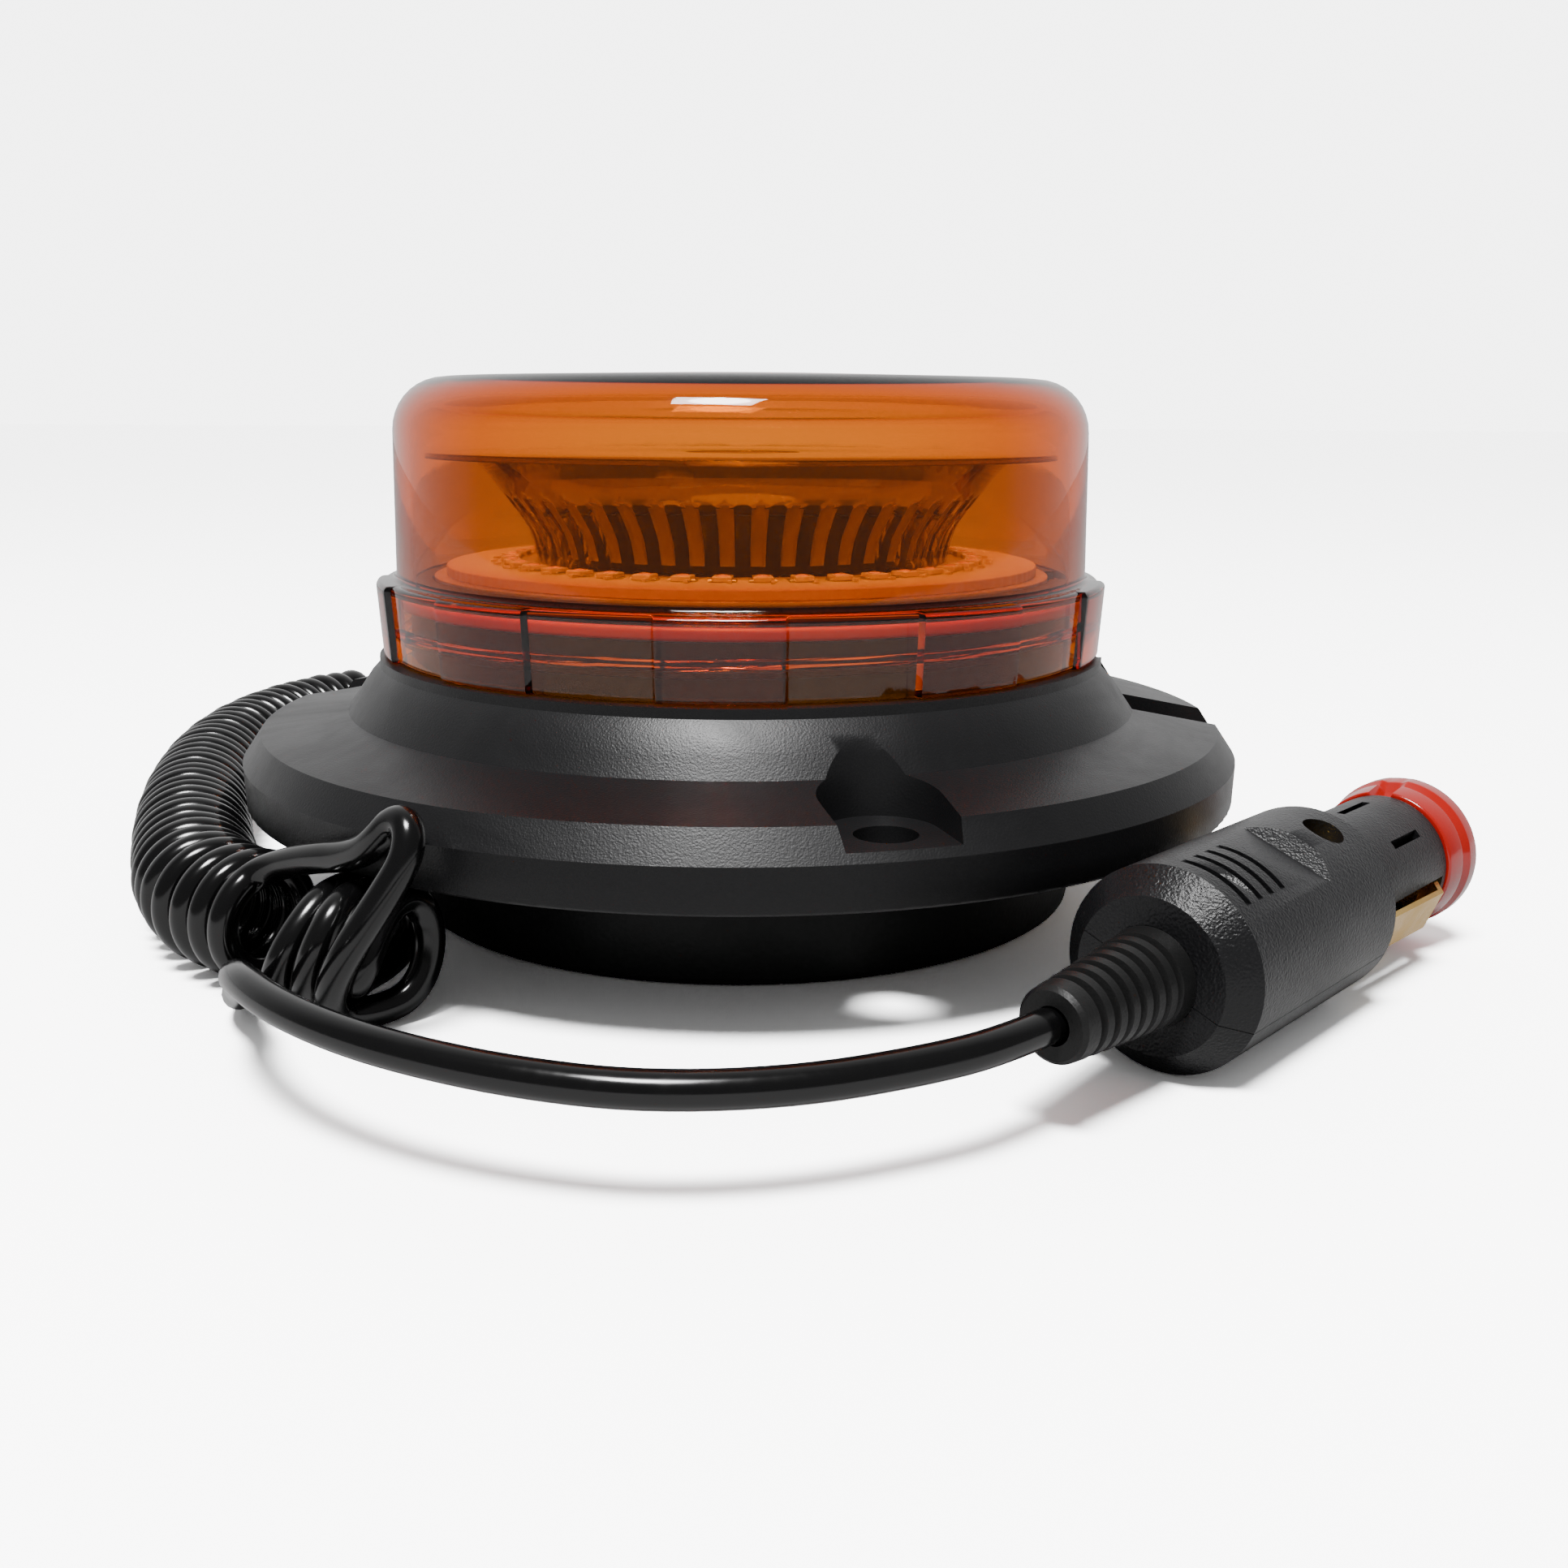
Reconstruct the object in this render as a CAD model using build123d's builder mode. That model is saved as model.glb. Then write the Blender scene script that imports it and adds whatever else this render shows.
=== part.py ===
"""Amber warning beacon on a magnetic foot, with a curly cord and a two-way vehicle plug.

Millimetres. The origin is the centre of the foot's underside, +Z is up and -Y is the front.
"""

import os
from math import cos, hypot, pi, radians, sin, tan

from build123d import *

os.makedirs("parts", exist_ok=True)

# ---------------------------------------------------------------- clearances
seat_gap = 0.1        # between two pieces that are screwed or stacked together
loose_gap = 0.3       # between curved faces that must not touch
wall = 2.4            # moulded wall of the housing

# ---------------------------------------------------------------- foot and magnet
foot_radius = 54.8
foot_height = 15.0
foot_wall = 2.4
foot_floor = 2.0
foot_edge = 1.5
magnet_radius = 45.0
magnet_bore = 22.0
pot_plate = 2.6
foot_bolt_radius = 4.0
foot_bolt_head = 6.5
foot_bolt_head_height = 4.4

# ---------------------------------------------------------------- housing
base_radius = 80.0
rim_bottom = 18.4
rim_height = 6.4
rim_draft = 0.15
shoulder_radius = 77.1
shoulder_rise = 4.2
ridge_radius = 63.8
ridge_rise = 2.5
skirt_radius = 60.2
skirt_rise = 5.3
collar_radius = 58.6
collar_rise = 1.7
collar_height = 1.4
neck_radius = 53.2
neck_height = 8.1
seal_land_radius = 52.4
seal_land_height = 4.4
neck_bore = 47.6
plate_thickness = 2.0

# ---------------------------------------------------------------- fixing pockets
fixing_count = 3
fixing_pcd = 143.6
fixing_azimuth = -75.5        # degrees from +X to the front pocket
fixing_hole_radius = 4.2
pocket_floor = 26.0
pocket_half_width = 7.6
pocket_inner_reach = 9.4
pocket_flare = 9.0            # degrees

# ---------------------------------------------------------------- thread and seal
thread_pitch = 3.0
thread_turns = 1.5
thread_height = 1.2
thread_root = 1.3
thread_crest = 0.7
seal_section = 1.0

# ---------------------------------------------------------------- lens
lens_wall = 2.5
dome_radius = 55.35
dome_draft = 0.6
dome_top = 82.2
dome_crown = 1.2
dome_corner = 8.2
flange_bore = 55.0
flange_radius = 57.6
flange_taper = 0.7
flange_height = 11.6
flange_pad = 1.0
pad_count = 10
pad_angle = 18.0
pad_phase = -102.0            # degrees from +X to the first pad's start

# ---------------------------------------------------------------- light engine
spreader_radius = 49.5
spreader_thickness = 1.9
board_radius = 47.65
board_thickness = 1.6
led_count = 42
led_ring_radius = 37.6
led_size = (2.8, 2.8, 1.5)
optic_foot_radius = 33.4
optic_bore = 29.0
optic_height = 16.0
optic_lip_radius = 43.2
disc_radius = 50.3
disc_thickness = 1.0
core_band_radius = 30.9
core_band_height = 1.6
core_band_drop = 4.6          # from the optic's top down to the band's top
stud_ring_radius = 20.0
stud_count = 3
screw_radius = 1.5
screw_head_radius = 2.8
screw_head_height = 1.8
driver_radius = 38.0
driver_drop = 12.0
driver_thickness = 1.6

# ---------------------------------------------------------------- cord
cord_diameter = 4.2
coil_radius = 9.3             # outside of the curly stretches
outlet_azimuth = 115.0        # degrees from +X to the cord's outlet
outlet_reach = 72.0
outlet_height = 10.5
outlet_width = 15.0
gland_length = 20.0

# ---------------------------------------------------------------- plug
plug_root = (33.4, -101.0, 13.0)
plug_azimuth = 46.2           # degrees from +X to the plug's axis
plug_roll = 22.0              # degrees from upright, towards the front
plug_radius = 13.0
plug_chamfer = 3.2
plug_wall = 2.2
relief_length = 21.0
relief_root_radius = 6.2
relief_tip_radius = 4.5
relief_grooves = 7
body_length = 41.7
nose_radius = 9.75
nose_length = 26.6
adapter_radius = 10.5
adapter_length = 8.2
adapter_skirt = 5.0
pin_radius = 2.6
pin_reach = 4.2
pin_press = 3.0
contact_thickness = 0.8
contact_width = 6.2
contact_press = 1.6
screw_station = 35.0          # from the body's rear face


# ---------------------------------------------------------------- helpers
def turn(points, mode=Mode.ADD):
    """Revolve a closed (radius, height) outline about the upright axis."""
    with BuildSketch(Plane.XZ) as outline:
        with BuildLine():
            Polyline(*points, close=True)
        make_face()
    revolve(outline.sketch, axis=Axis.Z, mode=mode)


def disc(radius, bottom, height, mode=Mode.ADD):
    """A plain round slab from bottom upwards."""
    with BuildSketch(Plane.XY.offset(bottom)) as outline:
        Circle(radius)
    extrude(outline.sketch, amount=height, mode=mode)


def around(radius, count, start=0.0):
    """Polar places that all stand upright."""
    return PolarLocations(radius, count, start_angle=start, rotate=False)


def finish(piece, label):
    """Name a piece and write it."""
    piece.part.label = label
    export_step(piece.part, f"parts/{label}.step")


def bends(points):
    """The largest arc that each inner point of a cord's route allows."""
    radii = []
    for before, at, after in zip(points, points[1:], points[2:]):
        arriving = Vector(*at) - Vector(*before)
        leaving = Vector(*after) - Vector(*at)
        half_turn = radians(arriving.get_angle(leaving)) / 2
        shorter = min(arriving.length, leaving.length)
        radii.append(0.45 * shorter / tan(half_turn))
    return radii


def tube(label, points, radius):
    """A plain tube along straight runs and tangent arcs."""
    radii = bends(points)
    with BuildPart() as piece:
        with BuildLine() as route:
            FilletPolyline(*points, radius=radii)
        start = route.line @ 0
        with BuildSketch(Plane(origin=start, z_dir=route.line % 0)):
            Circle(radius)
        sweep(path=route.line)
    length = route.wires()[0].length
    share = piece.part.volume / (pi * radius**2 * length)
    print(label, "length", round(length, 1), "volume share", round(share, 4))
    print("  radii", [round(r, 1) for r in radii])
    finish(piece, label)
    return length


def thread(radius, inward, bottom, turns):
    """A helical rib: rooted in a wall at radius, standing out or in by thread_height."""
    side = -1 if inward else 1
    root = radius - side * 0.4
    crest = radius + side * thread_height
    with BuildLine(mode=Mode.PRIVATE) as path:
        Helix(pitch=thread_pitch, height=thread_pitch * turns, radius=radius, center=(0, 0, bottom))
    with BuildSketch(Plane.XZ) as rib:
        with BuildLine():
            Polyline(
                (root, bottom - thread_root / 2),
                (crest, bottom - thread_crest / 2),
                (crest, bottom + thread_crest / 2),
                (root, bottom + thread_root / 2),
                close=True,
            )
        make_face()
    sweep(rib.sketch, path=path.line, is_frenet=True)


# ================================================================ foot
pot_radius = foot_radius - foot_wall - seat_gap
pot_bottom = foot_floor + seat_gap
pot_top = foot_height - 0.6
core_radius = magnet_bore - 2.0

with BuildPart() as rubber_foot:
    turn([
        (0, 0),
        (foot_radius - foot_edge, 0),
        (foot_radius, foot_edge),
        (foot_radius, foot_height),
        (foot_radius - foot_wall, foot_height),
        (foot_radius - foot_wall, foot_floor),
        (0, foot_floor),
    ])
finish(rubber_foot, "rubber_foot")

with BuildPart() as magnet_pot:
    turn([
        (foot_bolt_radius + loose_gap, pot_top - pot_plate),
        (core_radius - 6, pot_top - pot_plate),
        (core_radius - 6, pot_bottom),
        (core_radius, pot_bottom),
        (core_radius, pot_top - pot_plate),
        (pot_radius - 3, pot_top - pot_plate),
        (pot_radius - 3, pot_bottom),
        (pot_radius, pot_bottom),
        (pot_radius, pot_top),
        (foot_bolt_radius + loose_gap, pot_top),
    ])
finish(magnet_pot, "magnet_pot")

with BuildPart() as magnet_ring:
    turn([
        (magnet_bore, pot_bottom + 0.5),
        (magnet_radius, pot_bottom + 0.5),
        (magnet_radius, pot_top - pot_plate - seat_gap),
        (magnet_bore, pot_top - pot_plate - seat_gap),
    ])
finish(magnet_ring, "magnet_ring")

spacer_bottom = pot_top + seat_gap
with BuildPart() as foot_spacer:
    turn([
        (foot_bolt_radius + loose_gap, spacer_bottom),
        (24.0, spacer_bottom),
        (24.0, rim_bottom - seat_gap),
        (foot_bolt_radius + loose_gap, rim_bottom - seat_gap),
    ])
finish(foot_spacer, "foot_spacer")

plate_top = rim_bottom + plate_thickness
nut_height = 6.5
bolt_head_top = pot_top - pot_plate - seat_gap
with BuildPart() as foot_bolt:
    disc(foot_bolt_head, bolt_head_top - foot_bolt_head_height, foot_bolt_head_height)
    disc(foot_bolt_radius, bolt_head_top, plate_top + nut_height + 2 - bolt_head_top)
    with BuildSketch(Plane.XY.offset(bolt_head_top - foot_bolt_head_height)):
        RegularPolygon(radius=3.4, side_count=6)
    extrude(amount=2.6, mode=Mode.SUBTRACT)
finish(foot_bolt, "foot_bolt")

with BuildPart() as foot_nut:
    with BuildSketch(Plane.XY.offset(plate_top + seat_gap)):
        RegularPolygon(radius=7.5, side_count=6)
        Circle(foot_bolt_radius + 0.05, mode=Mode.SUBTRACT)
    extrude(amount=nut_height)
finish(foot_nut, "foot_nut")

# ================================================================ housing
rim_top = rim_bottom + rim_height
shoulder = rim_top + shoulder_rise
ridge = shoulder + ridge_rise
skirt = ridge + skirt_rise
collar = skirt + collar_rise
neck_foot = collar + collar_height
seal_step = neck_foot + neck_height
neck_top = seal_step + seal_land_height
spreader_bottom = neck_top - spreader_thickness + 0.3
boss_half_width = pocket_half_width + wall
fixing_radius = fixing_pcd / 2
fixing_angles = [fixing_azimuth + 360 / fixing_count * i for i in range(fixing_count)]


def pocket_outline(half_width, inner_reach, bottom, angle):
    """A slot with a round inner end, open to the outside, on a fixing's radius."""
    with BuildSketch(Plane.XY.offset(bottom).rotated((0, 0, angle))) as slot:
        with Locations((fixing_radius - inner_reach + half_width, 0)):
            Circle(half_width)
        reach = base_radius + 6 - (fixing_radius - inner_reach + half_width)
        with Locations((fixing_radius - inner_reach + half_width + reach / 2, 0)):
            Rectangle(reach, 2 * half_width)
    return slot.sketch


with BuildPart() as cavity:
    turn([
        (0, rim_bottom - 1),
        (base_radius - wall - rim_draft, rim_bottom - 1),
        (base_radius - wall, rim_top - 1.0),
        (shoulder_radius - wall + 0.8, shoulder - wall + 0.2),
        (ridge_radius - 1.2, ridge - wall),
        (skirt_radius - wall, skirt - 1.0),
        (neck_bore + 2.4, collar - 0.4),
        (neck_bore + 2.4, seal_step - 3.0),
        (neck_bore, seal_step - 0.6),
        (0, seal_step - 0.6),
    ])
    for angle in fixing_angles:
        boss = pocket_outline(boss_half_width, pocket_inner_reach + wall, plate_top + seat_gap, angle)
        extrude(boss, amount=20, mode=Mode.SUBTRACT)

rounded_edges = [
    ((base_radius - rim_draft, rim_bottom), 0.6),
    ((base_radius, rim_top), 1.2),
    ((shoulder_radius, shoulder), 1.6),
    ((ridge_radius, ridge), 2.0),
    ((skirt_radius, skirt), 1.2),
    ((collar_radius, collar), 0.5),
    ((collar_radius, neck_foot), 0.4),
]

with BuildPart() as housing:
    with BuildSketch(Plane.XZ) as outline:
        with BuildLine():
            Polyline(
                (0, rim_bottom),
                *[corner for corner, radius in rounded_edges],
                (neck_radius, neck_foot),
                (neck_radius, seal_step),
                (seal_land_radius, seal_step),
                (seal_land_radius, neck_top),
                (0, neck_top),
                close=True,
            )
        make_face()
        for corner, radius in rounded_edges:
            place = Vector(corner[0], 0, corner[1])
            fillet(outline.vertices().sort_by_distance(place)[0], radius)
    revolve(outline.sketch, axis=Axis.Z)
    disc(neck_bore, seal_step - 1, neck_top - seal_step + 2, mode=Mode.SUBTRACT)
    disc(spreader_radius + loose_gap, spreader_bottom - seat_gap, 6, mode=Mode.SUBTRACT)
    add(cavity.part, mode=Mode.SUBTRACT)
    for angle in fixing_angles:
        slot = pocket_outline(pocket_half_width, pocket_inner_reach, pocket_floor, angle)
        extrude(slot, amount=14, taper=-pocket_flare, mode=Mode.SUBTRACT)
    with BuildSketch(Plane.XY.offset(rim_bottom)):
        with around(fixing_radius, fixing_count, fixing_azimuth):
            Circle(fixing_hole_radius)
    extrude(amount=14, mode=Mode.SUBTRACT)
    thread(neck_radius, False, neck_foot + 1.7, thread_turns)
finish(housing, "housing")

# ================================================================ base plate and outlet
plate_radius = base_radius - wall - rim_draft - loose_gap
outlet_direction = Vector(cos(radians(outlet_azimuth)), sin(radians(outlet_azimuth)), 0)
outlet_face = outlet_direction * outlet_reach + Vector(0, 0, outlet_height)
outlet_plane = Plane(origin=outlet_face, x_dir=(0, 0, 1), z_dir=outlet_direction)
gland_bore_radius = 4.5
outlet_depth = 13.0
outlet_low = 4.0
outlet_block_height = rim_bottom - outlet_low
wire_drop_radius = 3.2

with BuildPart() as base_plate:
    disc(plate_radius, rim_bottom, plate_thickness)
    with BuildSketch(outlet_plane.offset(-outlet_depth)):
        with Locations(((rim_bottom + outlet_low) / 2 - outlet_height, 0)):
            Rectangle(outlet_block_height, outlet_width)
    extrude(amount=outlet_depth)
    with BuildSketch(Plane.XY.offset(rim_bottom)):
        Circle(foot_bolt_radius + loose_gap)
        with around(fixing_radius, fixing_count, fixing_azimuth):
            Circle(fixing_hole_radius)
    extrude(amount=plate_thickness, mode=Mode.SUBTRACT)
    with BuildSketch(outlet_plane):
        Circle(gland_bore_radius)
    extrude(amount=-outlet_depth + 2.0, mode=Mode.SUBTRACT)
    wire_drop = outlet_direction * (outlet_reach - outlet_depth / 2 - 1)
    with BuildSketch(Plane(origin=(wire_drop.X, wire_drop.Y, outlet_height))):
        Circle(wire_drop_radius)
    extrude(amount=plate_top - outlet_height, mode=Mode.SUBTRACT)
finish(base_plate, "base_plate")

gland_socket = 5.0
gland_flange = 1.8
gland_stem = 4.0
cord_bore = cord_diameter / 2 + 0.2
with BuildPart() as cable_gland:
    with BuildSketch(outlet_plane.offset(-gland_stem)):
        Circle(gland_bore_radius - seat_gap / 2)
    extrude(amount=gland_stem)
    with BuildSketch(outlet_plane):
        Circle(gland_bore_radius + 1.6)
    extrude(amount=gland_flange)
    with BuildSketch(outlet_plane.offset(gland_flange)):
        Circle(gland_bore_radius)
    with BuildSketch(outlet_plane.offset(gland_length)):
        Circle(cord_bore + 1.0)
    loft()
    with BuildSketch(outlet_plane.offset(gland_length)):
        Circle(cord_bore)
    extrude(amount=-gland_socket, mode=Mode.SUBTRACT)
    with BuildSketch(outlet_plane.offset(-gland_stem)):
        Circle(1.9)
    extrude(amount=2.0, mode=Mode.SUBTRACT)
finish(cable_gland, "cable_gland")

base_screw_ring = 70.5
base_screw_count = 3
base_screw_start = fixing_azimuth + 60
with BuildPart() as base_screws:
    with around(base_screw_ring, base_screw_count, base_screw_start):
        with Locations((0, 0, rim_bottom - screw_head_height)):
            Cylinder(screw_head_radius, screw_head_height,
                     align=(Align.CENTER, Align.CENTER, Align.MIN))
finish(base_screws, "base_screws")

# ================================================================ lens
flange_bottom = neck_foot + loose_gap
flange_top = flange_bottom + flange_height
dome_foot = flange_top + 1.2
dome_inner = dome_radius - lens_wall
inner_top = dome_top - lens_wall
corner_centre = (dome_radius - dome_draft - dome_corner, dome_top - dome_corner)
diagonal = dome_corner * cos(radians(45))
inner_corner = dome_corner - lens_wall
inner_diagonal = inner_corner * cos(radians(45))
seal_radius = seal_land_radius + loose_gap + seal_section
seal_height = seal_step + 0.2 + seal_section
lens_step = seal_height + seal_section + loose_gap


def pad(start, arc):
    """One raised pad of the grip ring, from start degrees over arc degrees."""
    with BuildSketch(Plane.XZ.rotated((0, 0, start))) as outline:
        with BuildLine():
            Polyline(
                (flange_radius - 1, flange_bottom),
                (flange_radius + flange_pad - flange_taper, flange_bottom),
                (flange_radius + flange_pad, flange_top - 0.8),
                (flange_radius + flange_pad - 0.8, flange_top),
                (flange_radius - 1, flange_top),
                close=True,
            )
        make_face()
    revolve(outline.sketch, axis=Axis.Z, revolution_arc=arc)


with BuildPart() as lens_dome:
    with BuildSketch(Plane.XZ) as shell:
        with BuildLine():
            corner_end = (corner_centre[0], dome_top)
            inner_end = (corner_centre[0], inner_top)
            Line((0, dome_top + dome_crown), corner_end)
            ThreePointArc(
                corner_end,
                (corner_centre[0] + diagonal, corner_centre[1] + diagonal),
                (dome_radius - dome_draft, corner_centre[1]),
            )
            Polyline(
                (dome_radius - dome_draft, corner_centre[1]),
                (dome_radius, dome_foot),
                (flange_radius - 0.6, flange_top),
                (flange_radius, flange_top - 0.6),
                (flange_radius - flange_taper, flange_bottom),
                (flange_bore, flange_bottom),
                (flange_bore, lens_step),
                (dome_inner, lens_step),
                (dome_inner - dome_draft, corner_centre[1]),
            )
            ThreePointArc(
                (dome_inner - dome_draft, corner_centre[1]),
                (corner_centre[0] + inner_diagonal, corner_centre[1] + inner_diagonal),
                inner_end,
            )
            Polyline(inner_end, (0, inner_top + dome_crown), (0, dome_top + dome_crown))
        make_face()
    revolve(axis=Axis.Z)
    for i in range(pad_count):
        pad(pad_phase + 360 / pad_count * i, pad_angle)
    thread(flange_bore, True, neck_foot + 1.7 + thread_pitch / 2, thread_turns - 0.25)
finish(lens_dome, "lens_dome")

with BuildPart() as lens_seal:
    with BuildSketch(Plane.XZ):
        with Locations((seal_radius, seal_height)):
            Circle(seal_section)
    revolve(axis=Axis.Z)
finish(lens_seal, "lens_seal")

# ================================================================ light engine
spreader_top = spreader_bottom + spreader_thickness
board_bottom = spreader_top + seat_gap
board_top = board_bottom + board_thickness
optic_bottom = board_top + seat_gap
optic_top = optic_bottom + optic_height
disc_bottom = optic_top + seat_gap
stud_radius = screw_radius + 0.2

with BuildPart() as heat_spreader:
    disc(spreader_radius, spreader_bottom, spreader_thickness)
    with BuildSketch(Plane.XY.offset(spreader_bottom)):
        Circle(8.0)
        with around(stud_ring_radius, stud_count):
            Circle(stud_radius)
    extrude(amount=spreader_thickness, mode=Mode.SUBTRACT)
finish(heat_spreader, "heat_spreader")

with BuildPart() as led_board:
    disc(board_radius, board_bottom, board_thickness)
    with BuildSketch(Plane.XY.offset(board_bottom)):
        Circle(8.0)
        with around(stud_ring_radius, stud_count):
            Circle(stud_radius)
    extrude(amount=board_thickness, mode=Mode.SUBTRACT)
finish(led_board, "led_board")

with BuildPart() as led_chips:
    with BuildSketch(Plane.XY.offset(board_top)):
        with PolarLocations(led_ring_radius, led_count):
            Rectangle(led_size[0], led_size[1])
    extrude(amount=led_size[2])
finish(led_chips, "led_chips")

with BuildPart() as optic_ring:
    with BuildSketch(Plane.XZ):
        with BuildLine():
            Polyline(
                (optic_lip_radius, optic_top),
                (optic_bore, optic_top),
                (optic_bore, optic_bottom),
                (optic_foot_radius - 0.2, optic_bottom),
            )
            Spline(
                (optic_foot_radius - 0.2, optic_bottom),
                (optic_foot_radius + 1.1, optic_bottom + 5.2),
                (optic_foot_radius + 3.2, optic_bottom + 8.8),
                (optic_foot_radius + 6.2, optic_bottom + 12.4),
                (optic_lip_radius, optic_top),
            )
        make_face()
    revolve(axis=Axis.Z)
    disc(core_band_radius + seat_gap, optic_top - core_band_drop - core_band_height - seat_gap,
         core_band_drop + core_band_height + 1, mode=Mode.SUBTRACT)
finish(optic_ring, "optic_ring")

core_top = optic_top - core_band_drop
core_radius_low = optic_bore - loose_gap
with BuildPart() as optic_core:
    turn([
        (core_band_radius - 0.2, core_top),
        (core_band_radius - 0.2, core_top - core_band_height),
        (core_radius_low, core_top - core_band_height),
        (core_radius_low, optic_bottom),
        (core_radius_low - 2.0, optic_bottom),
        (core_radius_low - 2.0, core_top - 2.0),
        (stud_radius + 4.0, core_top - 2.0),
        (stud_radius + 4.0, core_top),
    ])
    with BuildSketch(Plane.XY.offset(optic_bottom)):
        with around(stud_ring_radius, stud_count):
            Circle(3.6)
    extrude(amount=core_top - 1.0 - optic_bottom)
    with BuildSketch(Plane.XY.offset(optic_bottom)):
        with around(stud_ring_radius, stud_count):
            Circle(stud_radius)
    extrude(amount=optic_height, mode=Mode.SUBTRACT)
finish(optic_core, "optic_core")

with BuildPart() as optic_disc:
    disc(disc_radius, disc_bottom, disc_thickness)
    disc(9.0, disc_bottom, disc_thickness, mode=Mode.SUBTRACT)
finish(optic_disc, "optic_disc")

driver_top = spreader_bottom - driver_drop
driver_bottom = driver_top - driver_thickness
with BuildPart() as board_standoffs:
    with BuildSketch(Plane.XY.offset(driver_top + seat_gap)):
        with around(stud_ring_radius, stud_count):
            RegularPolygon(radius=3.2, side_count=6)
            Circle(screw_radius + 0.05, mode=Mode.SUBTRACT)
    extrude(amount=driver_drop - 2 * seat_gap)
finish(board_standoffs, "board_standoffs")

with BuildPart() as optic_screws:
    with BuildSketch(Plane.XY.offset(spreader_bottom - 5)):
        with around(stud_ring_radius, stud_count):
            Circle(screw_radius)
    extrude(amount=core_top + seat_gap - spreader_bottom + 5)
    with BuildSketch(Plane.XY.offset(core_top + seat_gap)):
        with around(stud_ring_radius, stud_count):
            Circle(screw_head_radius)
    extrude(amount=screw_head_height)
finish(optic_screws, "optic_screws")

with BuildPart() as driver_board:
    disc(driver_radius, driver_bottom, driver_thickness)
    with BuildSketch(Plane.XY.offset(driver_bottom)):
        with around(stud_ring_radius, stud_count):
            Circle(stud_radius)
    extrude(amount=driver_thickness, mode=Mode.SUBTRACT)
finish(driver_board, "driver_board")

with BuildPart() as driver_screws:
    with BuildSketch(Plane.XY.offset(driver_bottom - seat_gap)):
        with around(stud_ring_radius, stud_count):
            Circle(screw_head_radius)
    extrude(amount=-screw_head_height)
    with BuildSketch(Plane.XY.offset(driver_bottom - seat_gap)):
        with around(stud_ring_radius, stud_count):
            Circle(screw_radius)
    extrude(amount=driver_thickness + 5)
finish(driver_screws, "driver_screws")

part_seat = driver_bottom - seat_gap
with BuildPart() as driver_inductor:
    with BuildSketch(Plane.XY.offset(part_seat)):
        with Locations((0, 12)):
            RectangleRounded(12, 12, 2)
    extrude(amount=-6.5)
    fillet(driver_inductor.faces().sort_by(Axis.Z)[0].edges(), 0.8)
finish(driver_inductor, "driver_inductor")

with BuildPart() as driver_capacitors:
    with BuildSketch(Plane.XY.offset(part_seat)):
        with Locations((-13, -2), (13, -2)):
            Circle(4.0)
    extrude(amount=-8.5)
finish(driver_capacitors, "driver_capacitors")

connector_place = (0, -26)
with BuildPart() as board_connector:
    with BuildSketch(Plane.XY.offset(part_seat)):
        with Locations(connector_place):
            Rectangle(10, 6)
    extrude(amount=-6)
finish(board_connector, "board_connector")

# ================================================================ inner wires
wire_radius = 0.9
wire_start = outlet_direction * (outlet_reach - outlet_depth / 2 - 1)
connector_face = part_seat - 6


wire_route = [
    (wire_start.X, wire_start.Y, outlet_height - 3.0),
    (wire_start.X, wire_start.Y, plate_top + 5.0),
    (wire_start.X + 8.0, wire_start.Y - 16.0, plate_top + 5.0),
    (9.0, wire_start.Y - 42.0, plate_top + 4.0),
    (13.0, -8.0, plate_top + 3.5),
    (2.5, -22.9, plate_top + 3.1),
    (0.9, -25.2, plate_top + 4.7),
    (0.0, -26.5, plate_top + 7.5),
    (0.0, -26.5, connector_face - 0.05),
]


def wire(label, side):
    """One insulated conductor from the outlet up to the driver's connector."""
    route = [(x + 1.4 * side, y + 0.25 * side, z) for x, y, z in wire_route]
    return tube(label, route, wire_radius)


wire("inner_wire_red", 1)
wire("inner_wire_black", -1)

# ================================================================ cord
coil_centre = coil_radius + 0.1
gland_mouth = outlet_plane.offset(gland_length - gland_socket).origin
gland_exit = outlet_plane.offset(gland_length + 6.0).origin

coil_axis = [
    (-82.0, 110.5, coil_centre),
    (-93.0, 99.5, coil_centre),
    (-99.8, 85.5, coil_centre),
    (-103.0, 70.5, coil_centre),
    (-103.4, 55.0, coil_centre),
    (-102.0, 39.5, coil_centre),
    (-99.2, 24.2, coil_centre),
    (-95.6, 9.2, coil_centre),
    (-91.2, -5.6, coil_centre),
    (-86.2, -20.0, coil_centre),
    (-81.2, -33.5, coil_centre),
    (-74.6, -45.2, coil_centre),
    (-64.6, -52.6, coil_centre),
]
end_coil_axis = [
    (-44.8, -69.8, coil_centre),
    (-50.6, -65.2, coil_centre + 0.1),
    (-56.8, -61.2, coil_centre),
]
tail_route = [
    (gland_mouth.X, gland_mouth.Y, gland_mouth.Z),
    (gland_exit.X, gland_exit.Y, gland_exit.Z - 0.6),
    (-46.0, 103.5, 7.6),
    (-54.5, 113.0, 5.4),
    (-66.0, 117.6, 5.6),
    (-78.0, 116.0, 8.2),
    (-86.5, 108.0, 10.6),
]
bridge_route = [
    (-65.5, -52.5, 15.4),
    (-60.6, -58.2, 18.0),
    (-55.4, -63.4, 21.2),
    (-49.8, -67.9, 24.6),
    (-44.2, -71.8, 27.2),
    (-41.0, -76.4, 24.6),
    (-42.8, -80.0, 18.2),
    (-47.2, -79.2, 11.2),
    (-51.6, -74.8, 6.4),
]
plug_direction = Vector(cos(radians(plug_azimuth)), sin(radians(plug_azimuth)), 0)
relief_socket = 5.0
lead_end = Vector(*plug_root) + plug_direction * relief_socket
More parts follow.
